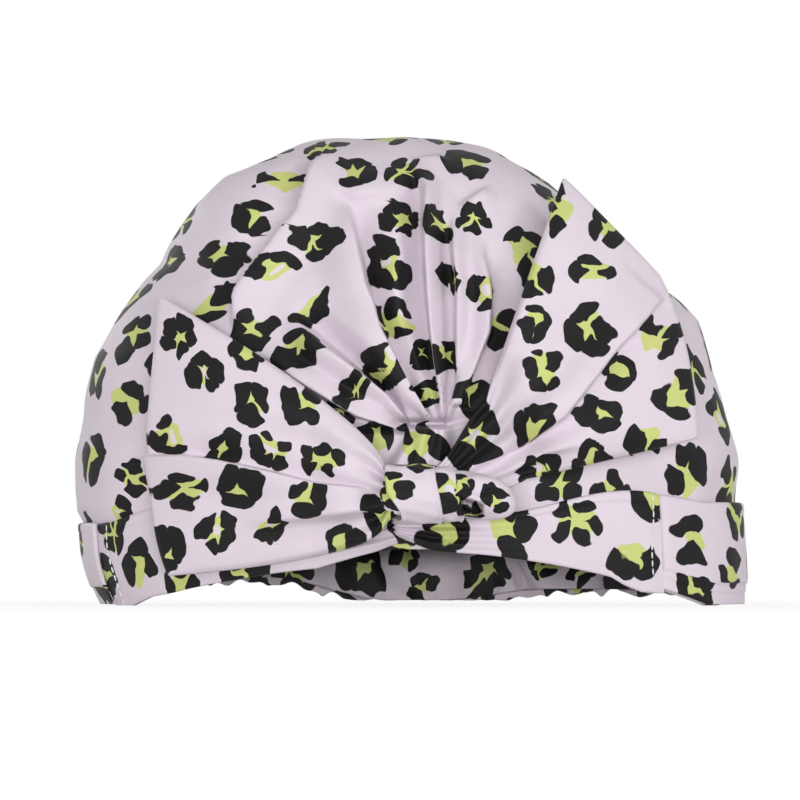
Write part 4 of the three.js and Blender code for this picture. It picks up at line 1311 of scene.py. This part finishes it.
class SHOWERCAP_OT_stitches(CapPiece, bpy.types.Operator):
    """White rows where the band is sewn to its casings"""

    bl_idname = "showercap.stitches"
    bl_label = "Stitches"

    def execute(self, context):
        dome = self.dome(context)
        tree, sockets = stitch_row_tree()
        for name, end, lift in (
            ("seam_left", dome.left_seam, 0),
            ("seam_right", dome.right_seam, BAND_LIFT_RIGHT),
        ):
            x = end - math.copysign(STITCH_IN, end) + np.zeros(40)
            z = dome.arch_height(x) + lift + np.linspace(1.5, dome.band - 1.2, 40)
            x = x + 0.35 * np.sin(z / 5)
            points = to_frame(together(x, dome.front_face(x, z) - BAND_GAP - BAND_CLOTH - STITCH_PROUD, z))
            mesh = bpy.data.meshes.new(name)
            mesh.from_pydata(points.tolist(), [(i, i + 1) for i in range(len(points) - 1)], [])
            row = put(name, mesh)
            nodes = row.modifiers.new("stitches", "NODES")
            nodes.node_group = tree
            nodes[sockets["Pitch"]] = STITCH_PITCH * MM
            nodes[sockets["Stitch"]] = tuple(size * MM for size in STITCH_SIZE)
            nodes[sockets["Thread"]] = finish("white_thread")
            settle(row)
            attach(row, "cap")
            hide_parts(name.replace("seam", "band_stitch"))
        return {"FINISHED"}


# The stage, in metres and degrees.
FLOOR_REACH, FLOOR_SEEN, FLOOR_WHITENS = 6, 0.88, (0.12, 0.4)
LAMPS_AIM, CAMERA_AIM, CAMERA_RISE = (0, 0, 0.09), (-0.0054, 0, 0.088), -1


class SHOWERCAP_OT_stage(bpy.types.Operator):
    """Pale floor, soft lamps and the camera"""

    bl_idname = "showercap.stage"
    bl_label = "Stage"

    def execute(self, context):
        scene = context.scene
        stage = scene.cap_stage
        scene.view_settings.view_transform = "Standard"
        mesh = bpy.data.meshes.new("floor")
        corners = [(x * FLOOR_REACH, y * FLOOR_REACH, 0) for x, y in ((-1, -1), (1, -1), (1, 1), (-1, 1))]
        mesh.from_pydata(corners, [], [(0, 1, 2, 3)])
        floor = put("floor", mesh)
        mesh.materials.append(self.white("pale_floor", stage.floor))

        world = scene.world or bpy.data.worlds.new("studio")
        scene.world = world
        world.use_nodes = True
        w = Nodes(world.node_tree)
        strength = w.ramp(w.looked_at(), 0.0, 1.0, stage.ambient, 1.0, "LINEAR")
        light = w.node("ShaderNodeBackground", Color=(1, 1, 1, 1), Strength=strength)
        w.node("ShaderNodeOutputWorld", Surface=light.outputs[0])

        for name, place, size, power in (
            ("key", (1.5, -1.05, 0.85), 0.55, stage.key_power),
            ("fill", (-1.9, -0.9, 0.8), 1.6, stage.fill_power),
            ("rim", (-1.5, 1.6, 0.9), 0.6, 2.4 * stage.fill_power),
            ("low", (0, -1.5, 0.05), (1.4, 0.08), 4.1 * stage.fill_power),
        ):
            lamp = bpy.data.lights.new(name, "AREA")
            lamp.energy = power
            if isinstance(size, tuple):
                lamp.shape, lamp.size, lamp.size_y = "RECTANGLE", *size
            else:
                lamp.shape, lamp.size = "DISK", size
            holder = put(name, lamp)
            holder.location = place
            way = Vector(LAMPS_AIM) - holder.location
            holder.rotation_euler = way.to_track_quat("-Z", "Y").to_euler()

        lens = bpy.data.cameras.new("camera")
        lens.sensor_width, lens.lens = 36, 360
        lens.clip_start, lens.clip_end = 0.1, 30
        camera = put("camera", lens)
        rise = math.radians(CAMERA_RISE)
        away = stage.distance * Vector((0, -math.cos(rise), math.sin(rise)))
        camera.location = Vector(CAMERA_AIM) + away
        camera.rotation_euler = (math.pi / 2 - rise, 0, 0)
        scene.camera = camera
        return {"FINISHED"}

    def white(self, name, colour):
        """A matt floor that is seen as near white with the cap's shadow on it, and as white further off."""
        material = bpy.data.materials.new(name)
        material.use_nodes = True
        f = Nodes(material.node_tree)
        away = f.vector("LENGTH", f.node("ShaderNodeTexCoord").outputs["Object"])
        glowing = f.math("MULTIPLY", f.looked_at(), f.ramp(away, *FLOOR_WHITENS, FLOOR_SEEN, 1.0, "LINEAR"))
        matt = f.node("ShaderNodeBsdfDiffuse", Color=(*colour, 1)).outputs[0]
        glow = f.node("ShaderNodeEmission").outputs[0]
        both = f.ordered(f.node("ShaderNodeMixShader"), (glowing, matt, glow))[0]
        f.node("ShaderNodeOutputMaterial", Surface=both)
        return material


class SHOWERCAP_PT_panel(bpy.types.Panel):
    """Sizes, looks and pieces of the shower cap"""

    bl_idname = "SHOWERCAP_PT_panel"
    bl_label = "Shower Cap"
    bl_space_type = "VIEW_3D"
    bl_region_type = "UI"
    bl_category = "Shower Cap"

    def draw(self, context):
        for group in ("cap_sizes", "cap_look", "cap_stage"):
            settings = getattr(context.scene, group)
            box = self.layout.box()
            for key in settings.__annotations__:
                box.prop(settings, key)
        for operator in OPERATORS:
            self.layout.operator(operator.bl_idname)


GROUPS = {"cap_sizes": CapSizes, "cap_look": CapLook, "cap_stage": CapStage}
OPERATORS = (
    SHOWERCAP_OT_stage,
    SHOWERCAP_OT_crown,
    SHOWERCAP_OT_layers,
    SHOWERCAP_OT_bands,
    SHOWERCAP_OT_side_casings,
    SHOWERCAP_OT_rear_hem,
    SHOWERCAP_OT_knot,
    SHOWERCAP_OT_wings,
    SHOWERCAP_OT_stitches,
)


def register():
    for made in (*GROUPS.values(), *OPERATORS, SHOWERCAP_PT_panel):
        bpy.utils.register_class(made)
    for name, group in GROUPS.items():
        setattr(bpy.types.Scene, name, PointerProperty(type=group))


def unregister():
    for name in GROUPS:
        delattr(bpy.types.Scene, name)
    for made in (SHOWERCAP_PT_panel, *reversed(OPERATORS), *GROUPS.values()):
        bpy.utils.unregister_class(made)


def main():
    register()
    for operator in OPERATORS:
        group, name = operator.bl_idname.split(".")
        getattr(getattr(bpy.ops, group), name)()


if __name__ == "__main__":
    main()
